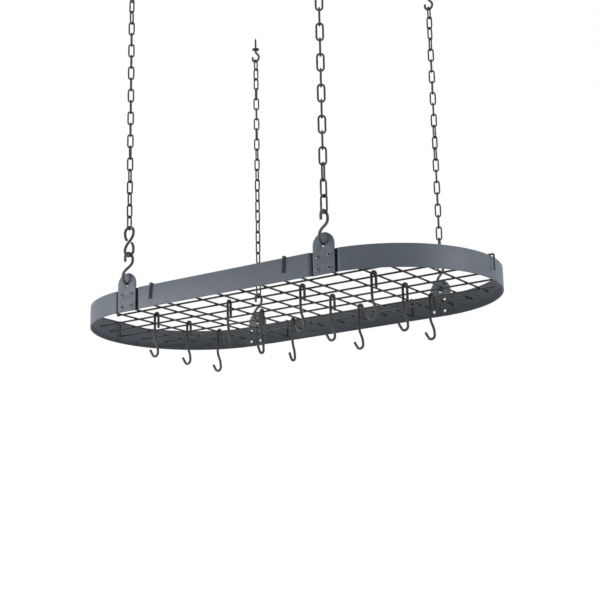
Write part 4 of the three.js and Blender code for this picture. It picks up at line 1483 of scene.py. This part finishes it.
@dataclass
class Studio:
    """The camera, the lamps, the pale world and the floor, with their places in metres."""

    centre: tuple[float, float, float] = (0.0, 0.0, -0.7)
    camera_place: tuple[float, float, float] = (1.46984, -2.13770, -1.31841)
    yaw: float = -0.59228
    pitch: float = 0.23597
    roll: float = -0.01967
    lens: float = 78.90
    sensor: float = 36.0
    sight: float = 60.0  # how far the camera sees, in metres
    floor_height: float = -2.6
    floor_half: float = 9.0
    floor_colour: Colour = (0.78, 0.78, 0.77)
    floor_drift: float = 0.01  # how far its colour drifts, as a share
    floor_scale: float = 3.0  # about how many clouds of it there are in a metre
    floor_roughness: float = 0.9
    floor_glow: float = 0.6  # how far the floor is white to the eye; the rest keeps the shadow
    fill: float = 0.20  # strength of the plain light from all round
    lamps: tuple[Lamp, ...] = (
        Lamp("left_lamp", (-0.68, -0.73, 0.05), distance=2.2, wide=0.8, tall=0.5, watts=22.0),
        Lamp("right_lamp", (0.98, 0.06, 0.15), distance=3.2, wide=0.9, tall=0.6, watts=36.0),
        Lamp("top_lamp", (-0.15, 0.10, 1.0), distance=3.4, wide=2.0, tall=2.0, watts=16.0),
    )

    def camera(self) -> None:
        """Sets the camera by its heading, its tilt upwards and its small roll, in radians."""
        data = bpy.data.cameras.new("camera")
        data.lens = self.lens
        data.sensor_fit = "HORIZONTAL"
        data.sensor_width = self.sensor
        data.clip_end = self.sight
        made = new_object("camera", data)
        forward = np.array([np.sin(self.yaw) * np.cos(self.pitch),
                            np.cos(self.yaw) * np.cos(self.pitch), np.sin(self.pitch)])
        level = np.array([np.cos(self.yaw), -np.sin(self.yaw), 0.0])
        above = np.cross(level, forward)
        right = np.cos(self.roll) * level + np.sin(self.roll) * above
        up = np.cos(self.roll) * above - np.sin(self.roll) * level
        turn = Matrix(np.stack([right, up, -forward], axis=1).tolist()).to_4x4()
        made.matrix_world = Matrix.Translation(self.camera_place) @ turn
        bpy.context.scene.camera = made

    def light(self) -> None:
        """Hangs the lamps round the rack."""
        for lamp in self.lamps:
            data = bpy.data.lights.new(lamp.name, "AREA")
            data.shape = "RECTANGLE"
            data.size, data.size_y = lamp.wide, lamp.tall
            data.energy = lamp.watts
            made = new_object(lamp.name, data)
            away = Vector(lamp.direction).normalized()
            made.location = Vector(self.centre) + away * lamp.distance
            made.rotation_euler = (-away).to_track_quat("-Z", "Y").to_euler()

    @staticmethod
    def seen(nodes: FinishNodes) -> Value:
        """One where the eye, a gloss or a clear piece looks, and nought where light is gathered.

        Args:
            nodes: The tree that the value is for.

        Returns:
            The value.
        """
        rays = nodes.node("ShaderNodeLightPath").outputs
        return (Value(nodes, rays["Is Camera Ray"]) + Value(nodes, rays["Is Glossy Ray"])
                + Value(nodes, rays["Is Transmission Ray"])).clamped()

    def surroundings(self) -> None:
        """A world that is white to the eye and to gloss, and a plain level of fill light."""
        world = bpy.data.worlds.new("studio")
        world.use_nodes = True
        bpy.context.scene.world = world
        nodes = FinishNodes(world.node_tree)
        strength = self.fill + self.seen(nodes) * (1.0 - self.fill)
        back = nodes.node("ShaderNodeBackground", {"Color": WHITE, "Strength": strength})
        nodes.node("ShaderNodeOutputWorld", {"Surface": back.outputs["Background"]})

    def floor(self) -> None:
        """A plain pale floor below the rack, with a faint unevenness."""
        half, height = self.floor_half, self.floor_height
        mesh = bpy.data.meshes.new("floor")
        mesh.from_pydata([(-half, -half, height), (half, -half, height), (half, half, height),
                          (-half, half, height)], [], [(0, 1, 2, 3)])
        material, nodes = blank_material("pale_floor")
        tone = nodes.blend(nodes.noise(self.floor_scale),
                           tinted(self.floor_colour, 1.0 - self.floor_drift),
                           tinted(self.floor_colour, 1.0 + self.floor_drift))
        shader = nodes.node("ShaderNodeBsdfPrincipled",
                            {"Base Color": tone, "Roughness": self.floor_roughness})
        glow = nodes.node("ShaderNodeEmission", {"Color": WHITE})
        mixed = nodes.node("ShaderNodeMixShader",
                           {0: self.seen(nodes) * self.floor_glow, 1: shader.outputs["BSDF"],
                            2: glow.outputs["Emission"]})
        nodes.node("ShaderNodeOutputMaterial", {"Surface": mixed.outputs["Shader"]})
        mesh.materials.append(material)
        made = new_object("floor", mesh)

    def build(self) -> None:
        """Sets up everything round the rack."""
        bpy.context.scene.view_settings.view_transform = "Standard"
        self.camera()
        self.light()
        self.surroundings()
        self.floor()
        log.info("studio: camera, %d lamps, world and floor", len(self.lamps))


def main() -> None:
    """Builds the studio and the rack."""
    logging.basicConfig(level=logging.INFO, format="%(name)s: %(message)s")
    sizes, rivets = RackSizes(), RivetPattern()
    Studio().build()
    shop = Workshop(sizes.ceiling)
    Rim(sizes, rivets).build(shop)
    for corner in CORNERS:
        Bracket(sizes, rivets, corner).build(shop)
        Suspension(sizes, corner).build(shop)
    grid = WireGrid(sizes)
    grid.build(shop)
    PotHooks(grid).build(shop)


if __name__ == "__main__":
    main()
